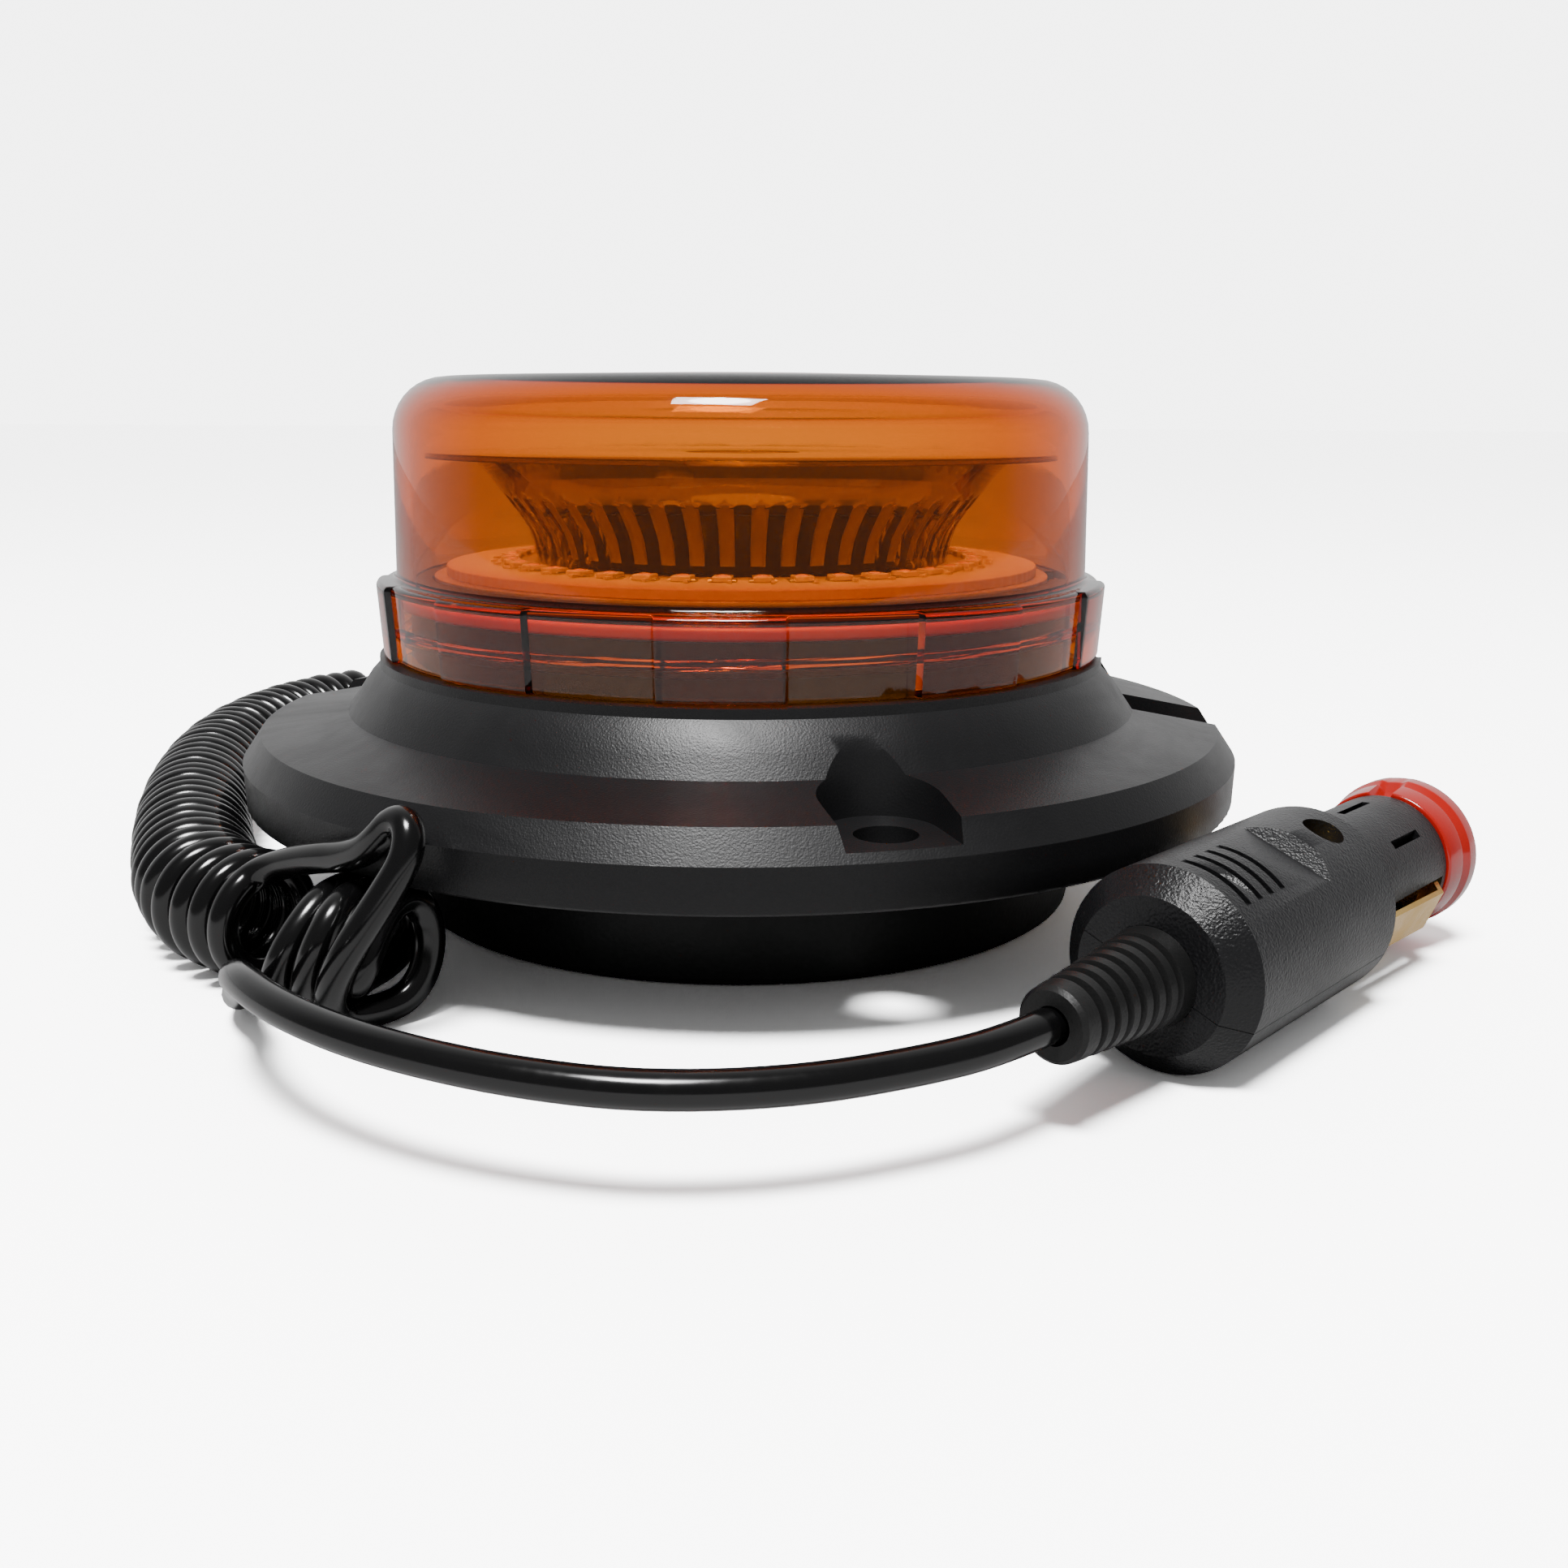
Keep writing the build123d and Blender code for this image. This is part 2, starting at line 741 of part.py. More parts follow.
lead_route = [
    (-58.2, -62.0, 4.0),
    (-61.0, -68.0, 4.6),
    (-61.6, -75.2, 8.4),
    (-60.2, -82.6, 12.6),
    (-57.0, -90.0, 14.6),
    (-51.6, -97.2, 14.6),
    (-44.2, -103.8, 14.3),
    (-35.4, -109.4, 14.0),
    (-23.5, -114.2, 13.4),
    (-10.0, -117.0, 12.9),
    (5.0, -115.4, 12.6),
    (18.5, -110.6, 12.7),
    (28.0, -105.6, 12.9),
    (lead_end.X, lead_end.Y, lead_end.Z),
]

lengths = {
    "cord_tail": tube("cord_tail", tail_route, cord_diameter / 2),
    "cord_coil": tube("cord_coil", coil_axis, coil_radius),
    "cord_bridge": tube("cord_bridge", bridge_route, cord_diameter / 2),
    "cord_end_coil": tube("cord_end_coil", end_coil_axis, coil_radius),
    "cord_lead": tube("cord_lead", lead_route, cord_diameter / 2),
}
turn_pitch = 4.4
turn_length = hypot(2 * pi * (coil_radius - cord_diameter / 2), turn_pitch)
coiled = lengths["cord_coil"] + lengths["cord_end_coil"]
plain = lengths["cord_tail"] + lengths["cord_bridge"] + lengths["cord_lead"]
print("real length of the cord", round(plain + coiled / turn_pitch * turn_length))

# ================================================================ plug
roll = radians(plug_roll)
plug_side = Vector(sin(radians(plug_azimuth)), -cos(radians(plug_azimuth)), 0)
plug_up = Vector(0, 0, 1) * cos(roll) + plug_side * sin(roll)
plug_across = plug_direction.cross(plug_up)
plug_origin = Vector(*plug_root)
plug_axis = Axis(plug_origin, plug_direction)
plug_section = Plane(origin=plug_origin, x_dir=plug_direction, z_dir=plug_across)
rear = relief_length
front = rear + body_length
nose_end = front + nose_length
seam = Plane(origin=plug_origin, x_dir=plug_direction, z_dir=plug_up)


def station(distance):
    """The plane across the plug at a distance from the cord's end, x towards the upper half."""
    return Plane(origin=plug_origin + plug_direction * distance, x_dir=plug_up, z_dir=plug_direction)


def side_plane(side):
    """The lengthwise plane that faces out of the plug's seam, to one side of the axis."""
    return Plane(origin=plug_origin, x_dir=plug_direction, z_dir=plug_across * side)


def plug_turn(points, mode=Mode.ADD):
    """Revolve a closed (distance, radius) outline about the plug's axis."""
    with BuildSketch(plug_section) as outline:
        with BuildLine():
            Polyline(*points, close=True)
        make_face()
    revolve(outline.sketch, axis=plug_axis, mode=mode)


relief_seat = rear + plug_wall
groove_pitch = (relief_length - 4.0) / relief_grooves
relief_slope = (relief_root_radius - relief_tip_radius) / relief_length


def relief_radius(distance):
    """Outside of the tapered sleeve at a distance from its tip."""
    return relief_tip_radius + relief_slope * distance


sleeve = [(0, cord_bore), (0, relief_radius(0) - 0.5), (0.5, relief_radius(0))]
for i in range(relief_grooves):
    start = 2.6 + groove_pitch * i
    sleeve += [
        (start, relief_radius(start)),
        (start + 0.3, relief_radius(start) - 0.9),
        (start + groove_pitch * 0.45, relief_radius(start) - 0.9),
        (start + groove_pitch * 0.45 + 0.3, relief_radius(start)),
    ]
sleeve += [
    (rear - seat_gap, relief_root_radius),
    (rear - seat_gap, relief_root_radius - 1.6),
    (relief_seat, relief_root_radius - 1.6),
    (relief_seat, relief_root_radius - 0.4),
    (relief_seat + 2.4, relief_root_radius - 0.4),
    (relief_seat + 2.4, 0),
    (relief_socket, 0),
    (relief_socket, cord_bore),
]
with BuildPart() as plug_strain_relief:
    plug_turn(sleeve)
finish(plug_strain_relief, "plug_strain_relief")

relief_hole = relief_root_radius - 1.6 + seat_gap
chamber_radius = plug_radius - plug_wall
nose_bore = nose_radius - 2.4
front_wall = 2.4
groove_count = 4
groove_step = 2.9
groove_depth = 0.9
recess_station = rear + 15.5
recess_length = 13.5
recess_depth = 1.7
tongue_length = 9.0
tongue_width = 8.4
contact_slot_width = contact_width + 0.6
contact_slot_start = front - 3.0
contact_slot_end = nose_end - 1.6
plug_screw_radius = 1.4
plug_screw_head = 2.5
screw_seat = plug_radius - 4.2
contact_root = front - 8.0
contact_tip = nose_end - 2.4
contact_inner = 5.2
contact_outer = nose_radius - 1.4
contact_peak = adapter_radius + contact_press / 2
spring_radius = 3.4
adapter_neck_radius = 6.0
adapter_neck_length = 7.0
pin_collar = nose_end + adapter_neck_length - 4.8

with BuildPart() as plug_shell:
    plug_turn([
        (rear, 0),
        (rear, plug_radius - plug_chamfer),
        (rear + plug_chamfer, plug_radius),
        (front - 0.6, plug_radius),
        (front, plug_radius - 0.6),
        (front, nose_radius),
        (nose_end - 0.4, nose_radius),
        (nose_end, nose_radius - 0.4),
        (nose_end, adapter_neck_radius),
        (nose_end + adapter_neck_length - 0.5, adapter_neck_radius),
        (nose_end + adapter_neck_length, adapter_neck_radius - 0.5),
        (nose_end + adapter_neck_length, 0),
    ])
    plug_turn([
        (rear + plug_wall - seat_gap, 0),
        (rear + plug_wall - seat_gap, chamber_radius - 1.0),
        (rear + plug_chamfer + 2.0, chamber_radius),
        (front - front_wall, chamber_radius),
        (front - front_wall, nose_bore),
        (nose_end - front_wall, nose_bore),
        (nose_end - front_wall, adapter_neck_radius - 1.8),
        (nose_end + adapter_neck_length - 1.6, adapter_neck_radius - 1.8),
        (nose_end + adapter_neck_length - 1.6, pin_radius + loose_gap),
        (nose_end + adapter_neck_length + 1, pin_radius + loose_gap),
        (nose_end + adapter_neck_length + 1, 0),
    ], mode=Mode.SUBTRACT)
    plug_turn([
        (rear - 1, 0),
        (rear - 1, relief_hole),
        (rear + plug_wall, relief_hole),
        (rear + plug_wall, 0),
    ], mode=Mode.SUBTRACT)
    for i in range(groove_count):
        along = rear + plug_chamfer + 2.4 + groove_step * i
        reach = plug_radius + 6.0
        with BuildSketch(station(along)) as groove:
            with Locations((reach, 0)):
                Circle(8.4)
        extrude(groove.sketch, amount=1.1, mode=Mode.SUBTRACT)
    with BuildSketch(plug_section) as recess:
        with BuildLine():
            Polyline(
                (recess_station, plug_radius + 0.2),
                (recess_station + recess_length * 0.75, plug_radius - recess_depth),
                (recess_station + recess_length, plug_radius + 0.2),
                close=True,
            )
        make_face()
    extrude(recess.sketch, amount=plug_radius, both=True, mode=Mode.SUBTRACT)
    for side in (1, -1):
        with BuildSketch(side_plane(side)) as slot:
            with Locations(((contact_slot_start + contact_slot_end) / 2, 0)):
                Rectangle(contact_slot_end - contact_slot_start, contact_slot_width)
        extrude(slot.sketch, amount=nose_radius + 2.0, mode=Mode.SUBTRACT)
    for edge in (1, -1):
        with BuildSketch(seam) as tongue_slot:
            with Locations((nose_end - 6.0 - tongue_length / 2, edge * tongue_width / 2)):
                Rectangle(tongue_length, 1.1)
        extrude(tongue_slot.sketch, amount=nose_radius + 2.0, mode=Mode.SUBTRACT)
    with BuildSketch(seam.offset(-plug_radius)) as screw_way:
        with Locations((rear + screw_station, 0)):
            Circle(plug_screw_radius + loose_gap)
    extrude(screw_way.sketch, amount=2 * plug_radius, mode=Mode.SUBTRACT)
    with BuildSketch(seam.offset(screw_seat)) as screw_sink:
        with Locations((rear + screw_station, 0)):
            Circle(plug_screw_head + loose_gap)
    extrude(screw_sink.sketch, amount=plug_radius, mode=Mode.SUBTRACT)

with BuildPart() as plug_upper_shell:
    add(plug_shell.part)
    split(bisect_by=seam.offset(seat_gap / 2), keep=Keep.TOP)
finish(plug_upper_shell, "plug_upper_shell")

with BuildPart() as plug_lower_shell:
    add(plug_shell.part)
    split(bisect_by=seam.offset(-seat_gap / 2), keep=Keep.BOTTOM)
finish(plug_lower_shell, "plug_lower_shell")

with BuildPart() as plug_screw:
    with BuildSketch(seam.offset(screw_seat + seat_gap)) as head:
        with Locations((rear + screw_station, 0)):
            Circle(plug_screw_head)
    extrude(head.sketch, amount=1.6)
    with BuildSketch(seam.offset(screw_seat + seat_gap)) as shank:
        with Locations((rear + screw_station, 0)):
            Circle(plug_screw_radius)
    extrude(shank.sketch, amount=-(screw_seat + plug_radius - 3.0))
finish(plug_screw, "plug_screw")


def contact(label, side):
    """A folded brass strip that springs out of a slot in the nose."""
    with BuildPart() as piece:
        with BuildSketch(Plane(origin=plug_origin, x_dir=plug_direction, z_dir=plug_up)) as strip:
            with BuildLine():
                Polyline(
                    (contact_root, side * contact_inner),
                    (contact_tip, side * contact_inner),
                    (contact_tip, side * contact_outer),
                    (contact_tip - 3.6, side * contact_peak),
                    (front + 1.2, side * (contact_peak - 0.5)),
                    (front + 1.2, side * (contact_peak - 0.5 - contact_thickness)),
                    (contact_tip - 3.9, side * (contact_peak - contact_thickness)),
                    (contact_tip - contact_thickness, side * (contact_outer - 0.5)),
                    (contact_tip - contact_thickness, side * (contact_inner + contact_thickness)),
                    (contact_root, side * (contact_inner + contact_thickness)),
                    close=True,
                )
            make_face()
        extrude(strip.sketch, amount=contact_width / 2, both=True)
    finish(piece, label)


contact("side_contact_front", -1)
contact("side_contact_back", 1)

with BuildPart() as tip_pin:
    pin_tip = nose_end + adapter_neck_length + pin_reach
    plug_turn([
        (pin_collar, 0),
        (pin_collar, pin_radius + 1.2),
        (pin_collar + 1.5, pin_radius + 1.2),
        (pin_collar + 1.5, pin_radius),
        (pin_tip - 1.2, pin_radius),
        (pin_tip, pin_radius - 1.4),
        (pin_tip, 0),
    ])
finish(tip_pin, "tip_pin")

fuse_end = pin_collar - pin_press - 6.0
fuse_length = 20.0
fuse_radius = 3.0
with BuildPart() as plug_fuse:
    plug_turn([
        (fuse_end - fuse_length, 0),
        (fuse_end - fuse_length, fuse_radius),
        (fuse_end, fuse_radius),
        (fuse_end, 0),
    ])
finish(plug_fuse, "plug_fuse")

with BuildPart() as tip_spring:
    plug_turn([
        (fuse_end + seat_gap, spring_radius - 0.6),
        (fuse_end + seat_gap, spring_radius),
        (pin_collar - pin_press - seat_gap, spring_radius),
        (pin_collar - pin_press - seat_gap, spring_radius - 0.6),
    ])
finish(tip_spring, "tip_spring")

fuse_seat = fuse_end - fuse_length
with BuildPart() as fuse_holder:
    plug_turn([
        (fuse_seat - 1.2, 0),
        (fuse_seat - 1.2, nose_bore - loose_gap),
        (fuse_end - 1.0, nose_bore - loose_gap),
        (fuse_end - 1.0, fuse_radius + seat_gap),
        (fuse_seat - seat_gap, fuse_radius + seat_gap),
        (fuse_seat - seat_gap, 0),
    ])
    for side in (1, -1):
        with BuildSketch(side_plane(side)) as gap:
            with Locations((fuse_end - fuse_length / 2, 0)):
                Rectangle(2 * fuse_length, contact_slot_width)
        extrude(gap.sketch, amount=nose_radius, mode=Mode.SUBTRACT)
finish(fuse_holder, "fuse_holder")

with BuildPart() as adapter_ring:
    plug_turn([
        (nose_end + seat_gap, adapter_neck_radius + loose_gap),
        (nose_end + seat_gap, adapter_radius - 0.4),
        (nose_end + seat_gap + 0.4, adapter_radius),
        (nose_end + adapter_length - 2.4, adapter_radius),
        (nose_end + adapter_length - 0.8, adapter_radius - 1.2),
        (nose_end + adapter_length, adapter_radius - 3.2),
        (nose_end + adapter_length, adapter_neck_radius + loose_gap),
    ])
finish(adapter_ring, "adapter_ring")
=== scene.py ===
"""Looks of the amber warning beacon: lens, optic, moulded housing, curly cord and plug."""

from math import atan2, cos, hypot, pi, radians, sin, tan

import bmesh
import bpy
from mathutils import Matrix, Vector


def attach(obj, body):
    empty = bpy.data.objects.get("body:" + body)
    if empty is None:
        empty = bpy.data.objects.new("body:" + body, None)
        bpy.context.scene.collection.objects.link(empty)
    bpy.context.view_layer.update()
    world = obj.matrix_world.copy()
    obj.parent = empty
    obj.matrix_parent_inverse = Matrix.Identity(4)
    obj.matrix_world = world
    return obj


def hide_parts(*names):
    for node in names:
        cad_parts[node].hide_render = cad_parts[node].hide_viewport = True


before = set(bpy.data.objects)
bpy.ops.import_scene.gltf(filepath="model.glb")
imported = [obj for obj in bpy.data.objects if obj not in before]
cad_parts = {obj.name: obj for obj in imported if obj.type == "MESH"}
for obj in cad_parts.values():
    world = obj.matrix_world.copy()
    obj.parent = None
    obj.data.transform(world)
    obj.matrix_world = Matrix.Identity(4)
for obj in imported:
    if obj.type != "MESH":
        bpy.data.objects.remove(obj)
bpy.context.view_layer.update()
MM = 0.001
MM_PER_METRE = 1000.0


# ================================================================ effects shared by several finishes
def new_group(name, inputs, outputs):
    """An empty effect with named numbers in and named values out."""
    group = bpy.data.node_groups.new(name, "ShaderNodeTree")
    for label, start in inputs:
        socket = group.interface.new_socket(label, in_out="INPUT", socket_type="NodeSocketFloat")
        socket.default_value = start
    for label, kind in outputs:
        group.interface.new_socket(label, in_out="OUTPUT", socket_type=kind)
    entry = group.nodes.new("NodeGroupInput")
    leave = group.nodes.new("NodeGroupOutput")
    return group, entry, leave


def node(tree, kind, **values):
    """A node with its properties and its inputs' own values."""
    made = tree.nodes.new(kind)
    for label, value in values.items():
        if hasattr(made, label) and label not in made.inputs:
            setattr(made, label, value)
        else:
            made.inputs[label.replace("_", " ")].default_value = value
    return made


def math_node(tree, operation, first, second=None, third=None):
    """One sum; its inputs are numbers or other nodes' sockets."""
    made = tree.nodes.new("ShaderNodeMath")
    made.operation = operation
    for i, value in enumerate((first, second, third)):
        if value is None:
            continue
        if isinstance(value, (int, float)):
            made.inputs[i].default_value = value
        else:
            tree.links.new(value, made.inputs[i])
    return made.outputs[0]


def make_moulded_grain():
    """The fine spark-eroded grain of matt mouldings, with a coarser waviness under it."""
    group, entry, leave = new_group(
        "moulded grain", [("Size", 0.4), ("Waviness", 0.2)],
        [("Height", "NodeSocketFloat"), ("Tone", "NodeSocketFloat")],
    )
    place = group.nodes.new("ShaderNodeTexCoord")
    scale = math_node(group, "DIVIDE", MM_PER_METRE, entry.outputs["Size"])
    fine = node(group, "ShaderNodeTexNoise", Detail=3.0, Roughness=0.6)
    group.links.new(place.outputs["Object"], fine.inputs["Vector"])
    group.links.new(scale, fine.inputs["Scale"])
    pits = node(group, "ShaderNodeTexVoronoi", feature="SMOOTH_F1")
    group.links.new(place.outputs["Object"], pits.inputs["Vector"])
    group.links.new(math_node(group, "MULTIPLY", scale, 1.4), pits.inputs["Scale"])
    slow = node(group, "ShaderNodeTexNoise", Detail=2.0, Scale=45.0)
    group.links.new(place.outputs["Object"], slow.inputs["Vector"])
    grain = math_node(group, "MULTIPLY_ADD", pits.outputs["Distance"], 0.6, fine.outputs["Fac"])
    height = math_node(group, "MULTIPLY_ADD", slow.outputs["Fac"], entry.outputs["Waviness"], grain)
    group.links.new(height, leave.inputs["Height"])
    group.links.new(slow.outputs["Fac"], leave.inputs["Tone"])
    return group


def make_fingermarks():
    """Faint smears that change how plastic and metal shine."""
    group, entry, leave = new_group(
        "fingermarks", [("Size", 20.0), ("Amount", 0.1), ("Base", 0.1)], [("Roughness", "NodeSocketFloat")],
    )
    place = group.nodes.new("ShaderNodeTexCoord")
    smear = node(group, "ShaderNodeTexNoise", Detail=4.0, Roughness=0.7, Distortion=0.6)
    group.links.new(place.outputs["Object"], smear.inputs["Vector"])
    scale = math_node(group, "DIVIDE", MM_PER_METRE, entry.outputs["Size"])
    group.links.new(scale, smear.inputs["Scale"])
    ramp = node(group, "ShaderNodeMapRange", From_Min=0.42, From_Max=0.7)
    group.links.new(smear.outputs["Fac"], ramp.inputs["Value"])
    rough = math_node(
        group, "MULTIPLY_ADD", ramp.outputs["Result"], entry.outputs["Amount"], entry.outputs["Base"]
    )
    group.links.new(rough, leave.inputs["Roughness"])
    return group


def make_edge_wear():
    """A mask of the edges that get rubbed."""
    group, entry, leave = new_group("rubbed edges", [("Reach", 0.06)], [("Mask", "NodeSocketFloat")])
    geometry = group.nodes.new("ShaderNodeNewGeometry")
    place = group.nodes.new("ShaderNodeTexCoord")
    patches = node(group, "ShaderNodeTexNoise", Scale=160.0, Detail=3.0)
    group.links.new(place.outputs["Object"], patches.inputs["Vector"])
    sharp = node(group, "ShaderNodeMapRange", From_Min=0.53, From_Max=0.62)
    group.links.new(geometry.outputs["Pointiness"], sharp.inputs["Value"])
    mask = math_node(group, "MULTIPLY", sharp.outputs["Result"], patches.outputs["Fac"])
    group.links.new(math_node(group, "MULTIPLY", mask, entry.outputs["Reach"]), leave.inputs["Mask"])
    return group


def make_working_lines():
    """Fine lines drawn out along one way, as rolling and turning leave them."""
    group, entry, leave = new_group("working lines", [("Fineness", 300.0)], [("Lines", "NodeSocketFloat")])
    place = group.nodes.new("ShaderNodeTexCoord")
    lay = node(group, "ShaderNodeMapping")
    lay.inputs["Scale"].default_value = (1, 1, 30)
    group.links.new(place.outputs["Object"], lay.inputs["Vector"])
    lines = node(group, "ShaderNodeTexNoise", Detail=4.0)
    group.links.new(entry.outputs["Fineness"], lines.inputs["Scale"])
    group.links.new(lay.outputs["Vector"], lines.inputs["Vector"])
    group.links.new(lines.outputs["Fac"], leave.inputs["Lines"])
    return group


moulded_grain = make_moulded_grain()
fingermarks = make_fingermarks()
rubbed_edges = make_edge_wear()
working_lines = make_working_lines()


def effect(tree, group, **values):
    """One shared effect placed in a finish with its own values."""
    made = tree.nodes.new("ShaderNodeGroup")
    made.node_tree = group
    for label, value in values.items():
        made.inputs[label].default_value = value
    return made


# ================================================================ finishes
def new_finish(name, **values):
    """A material with one Principled shader, whose own sockets hold the plain values."""
    material = bpy.data.materials.new(name)
    material.use_nodes = True
    tree = material.node_tree
    shader = tree.nodes["Principled BSDF"]
    for label, value in values.items():
        shader.inputs[label.replace("_", " ")].default_value = value
    return material, tree, shader


def tint(tree, shader, mask, low, high):
    """The colour runs from low to high with a mask."""
    mix = node(tree, "ShaderNodeMix", data_type="RGBA")
    tree.links.new(mask, mix.inputs[0])
    mix.inputs[6].default_value = (*low, 1)
    mix.inputs[7].default_value = (*high, 1)
    tree.links.new(mix.outputs[2], shader.inputs["Base Color"])


def dent(tree, shader, height, distance, strength=1.0):
    """A bump from a height."""
    bump = node(tree, "ShaderNodeBump", Strength=strength, Distance=distance)
    tree.links.new(height, bump.inputs["Height"])
    tree.links.new(bump.outputs["Normal"], shader.inputs["Normal"])


def grained(name, low, high, roughness, size, depth, wear=0.06):
    """Matt moulded plastic or rubber with rubbed edges and a grain of a size and a depth in mm."""
    material, tree, shader = new_finish(name, Roughness=roughness, Specular_IOR_Level=0.3)
    grain = effect(tree, moulded_grain, Size=size, Waviness=0.2)
    worn = effect(tree, rubbed_edges, Reach=wear)
    tone = math_node(tree, "ADD", grain.outputs["Tone"], worn.outputs["Mask"])
    tint(tree, shader, tone, low, high)
    dent(tree, shader, grain.outputs["Height"], depth * MM)
    marks = effect(tree, fingermarks, Size=30.0, Amount=0.1, Base=roughness - 0.05)
    tree.links.new(marks.outputs["Roughness"], shader.inputs["Roughness"])
    return material


def glossy(name, low, high, roughness, smear=0.08, coat=0.0):
    """Smooth glossy plastic with faint fingermarks and a slight ripple."""
    material, tree, shader = new_finish(name, Roughness=roughness, Coat_Weight=coat, Coat_Roughness=0.03)
    marks = effect(tree, fingermarks, Size=12.0, Amount=smear, Base=roughness)
    tree.links.new(marks.outputs["Roughness"], shader.inputs["Roughness"])
    grain = effect(tree, moulded_grain, Size=6.0, Waviness=1.0)
    tint(tree, shader, grain.outputs["Tone"], low, high)
    dent(tree, shader, grain.outputs["Height"], 0.02 * MM, 0.5)
    return material


def metal(name, low, high, roughness):
    """Bare metal with fine working lines."""
    material, tree, shader = new_finish(name, Metallic=1.0, Roughness=roughness)
    drawn = effect(tree, working_lines, Fineness=300.0)
    tint(tree, shader, drawn.outputs["Lines"], low, high)
    dent(tree, shader, drawn.outputs["Lines"], 0.02 * MM, 0.6)
    marks = effect(tree, fingermarks, Size=8.0, Amount=0.2, Base=roughness)
    tree.links.new(marks.outputs["Roughness"], shader.inputs["Roughness"])
    return material


def clear(name, colour, density, roughness, ior=1.49, shade=(1, 1, 1)):
    """Clear moulded plastic: its thickness gives its colour, and light goes through to what is inside."""
    material, tree, shader = new_finish(name, Roughness=roughness, IOR=ior, Transmission_Weight=1.0)
    shader.inputs["Base Color"].default_value = (*shade, 1)
    marks = effect(tree, fingermarks, Size=15.0, Amount=0.05, Base=roughness)
    tree.links.new(marks.outputs["Roughness"], shader.inputs["Roughness"])
    grain = effect(tree, moulded_grain, Size=14.0, Waviness=1.0)
    dent(tree, shader, grain.outputs["Height"], 0.03 * MM, 0.3)
    out = tree.nodes["Material Output"]
    light = tree.nodes.new("ShaderNodeLightPath")
    through = node(tree, "ShaderNodeBsdfTransparent")
    through.inputs["Color"].default_value = (0.9, 0.9, 0.9, 1)
    mix = tree.nodes.new("ShaderNodeMixShader")
    tree.links.new(light.outputs["Is Shadow Ray"], mix.inputs[0])
    tree.links.new(shader.outputs[0], mix.inputs[1])
    tree.links.new(through.outputs[0], mix.inputs[2])
    tree.links.new(mix.outputs[0], out.inputs["Surface"])
    soak = node(tree, "ShaderNodeVolumeAbsorption", Density=density)
    soak.inputs["Color"].default_value = (*colour, 1)
    tree.links.new(soak.outputs[0], out.inputs["Volume"])
    return material


housing_black = grained(
    "housing black", (0.004, 0.004, 0.0045), (0.008, 0.008, 0.0085), roughness=0.40, size=0.35, depth=0.03)
foot_rubber = grained(
    "foot rubber", (0.003, 0.003, 0.003), (0.007, 0.007, 0.007), roughness=0.55, size=0.8, depth=0.04)
plug_black = grained(
    "plug black", (0.004, 0.004, 0.0045), (0.010, 0.010, 0.011), roughness=0.36, size=0.45, depth=0.10,
    wear=0.10)
relief_black = grained(
    "strain relief black", (0.004, 0.004, 0.004), (0.009, 0.009, 0.009), roughness=0.42, size=0.5,
    depth=0.03)
inner_black = grained(
    "inner black", (0.005, 0.005, 0.005), (0.011, 0.011, 0.011), roughness=0.45, size=0.6, depth=0.04)
board_white = grained(
    "board white", (0.30, 0.29, 0.26), (0.42, 0.41, 0.37), roughness=0.45, size=0.6, depth=0.03)
board_green = grained(
    "driver board green", (0.012, 0.10, 0.04), (0.03, 0.18, 0.07), roughness=0.35, size=1.2, depth=0.03)
ferrite = grained(
    "ferrite", (0.03, 0.03, 0.032), (0.06, 0.06, 0.06), roughness=0.6, size=0.5, depth=0.05)

cord_black = glossy("cord sheath", (0.0016, 0.0016, 0.0017), (0.003, 0.003, 0.0032), 0.14)
# Painted shade: a darker, opaque brown for the deepest faces of the clear optic's flutes, standing in for
# the shade seen in the grooves.
optic_groove_painted_shade = glossy("optic groove painted shade", (0.13, 0.10, 0.07), (0.22, 0.17, 0.11), 0.35, smear=0.1)
seal_red = glossy("seal red", (0.25, 0.008, 0.004), (0.33, 0.014, 0.006), 0.4, smear=0.1)
adapter_red = glossy("adapter red", (0.30, 0.004, 0.002), (0.38, 0.007, 0.003), 0.12, smear=0.1, coat=0.5)
led_body = glossy("lamp package", (0.34, 0.31, 0.22), (0.44, 0.40, 0.30), 0.3)
led_lens = glossy("lamp phosphor", (0.42, 0.24, 0.02), (0.55, 0.34, 0.05), 0.15, coat=0.6)
sleeve_dark = glossy("capacitor sleeve", (0.01, 0.012, 0.03), (0.02, 0.022, 0.05), 0.3)
wire_red = glossy("red wire", (0.45, 0.012, 0.008), (0.55, 0.02, 0.012), 0.25)
wire_black = glossy("black wire", (0.008, 0.008, 0.008), (0.016, 0.016, 0.016), 0.25)

amber = clear("amber lens", (0.950, 0.755, 0.0), density=1500.0, roughness=0.012)
# The optic's tint is partly its own smoky brown and partly painted shade: darkened to stand in for the dark
# inside seen through it.
optic_clear = clear(
    "optic clear", (0.80, 0.74, 0.55), density=170.0, roughness=0.06, ior=1.25, shade=(0.60, 0.56, 0.42))
disc_clear = clear("disc clear", (0.85, 0.8, 0.65), density=90.0, roughness=0.03)
fuse_clear = clear("fuse glass", (0.9, 0.95, 0.9), density=20.0, roughness=0.03)

solder = metal("solder", (0.6, 0.6, 0.6), (0.75, 0.75, 0.74), 0.3)
spreader_metal = metal("spreader aluminium", (0.62, 0.62, 0.63), (0.8, 0.8, 0.8), 0.35)
zinc_steel = metal("zinc plated steel", (0.48, 0.48, 0.49), (0.66, 0.66, 0.66), 0.32)
magnet_dark = metal("sintered magnet", (0.06, 0.06, 0.06), (0.14, 0.14, 0.14), 0.55)
brass_bright = metal("bright brass", (0.52, 0.31, 0.06), (0.70, 0.45, 0.12), 0.24)


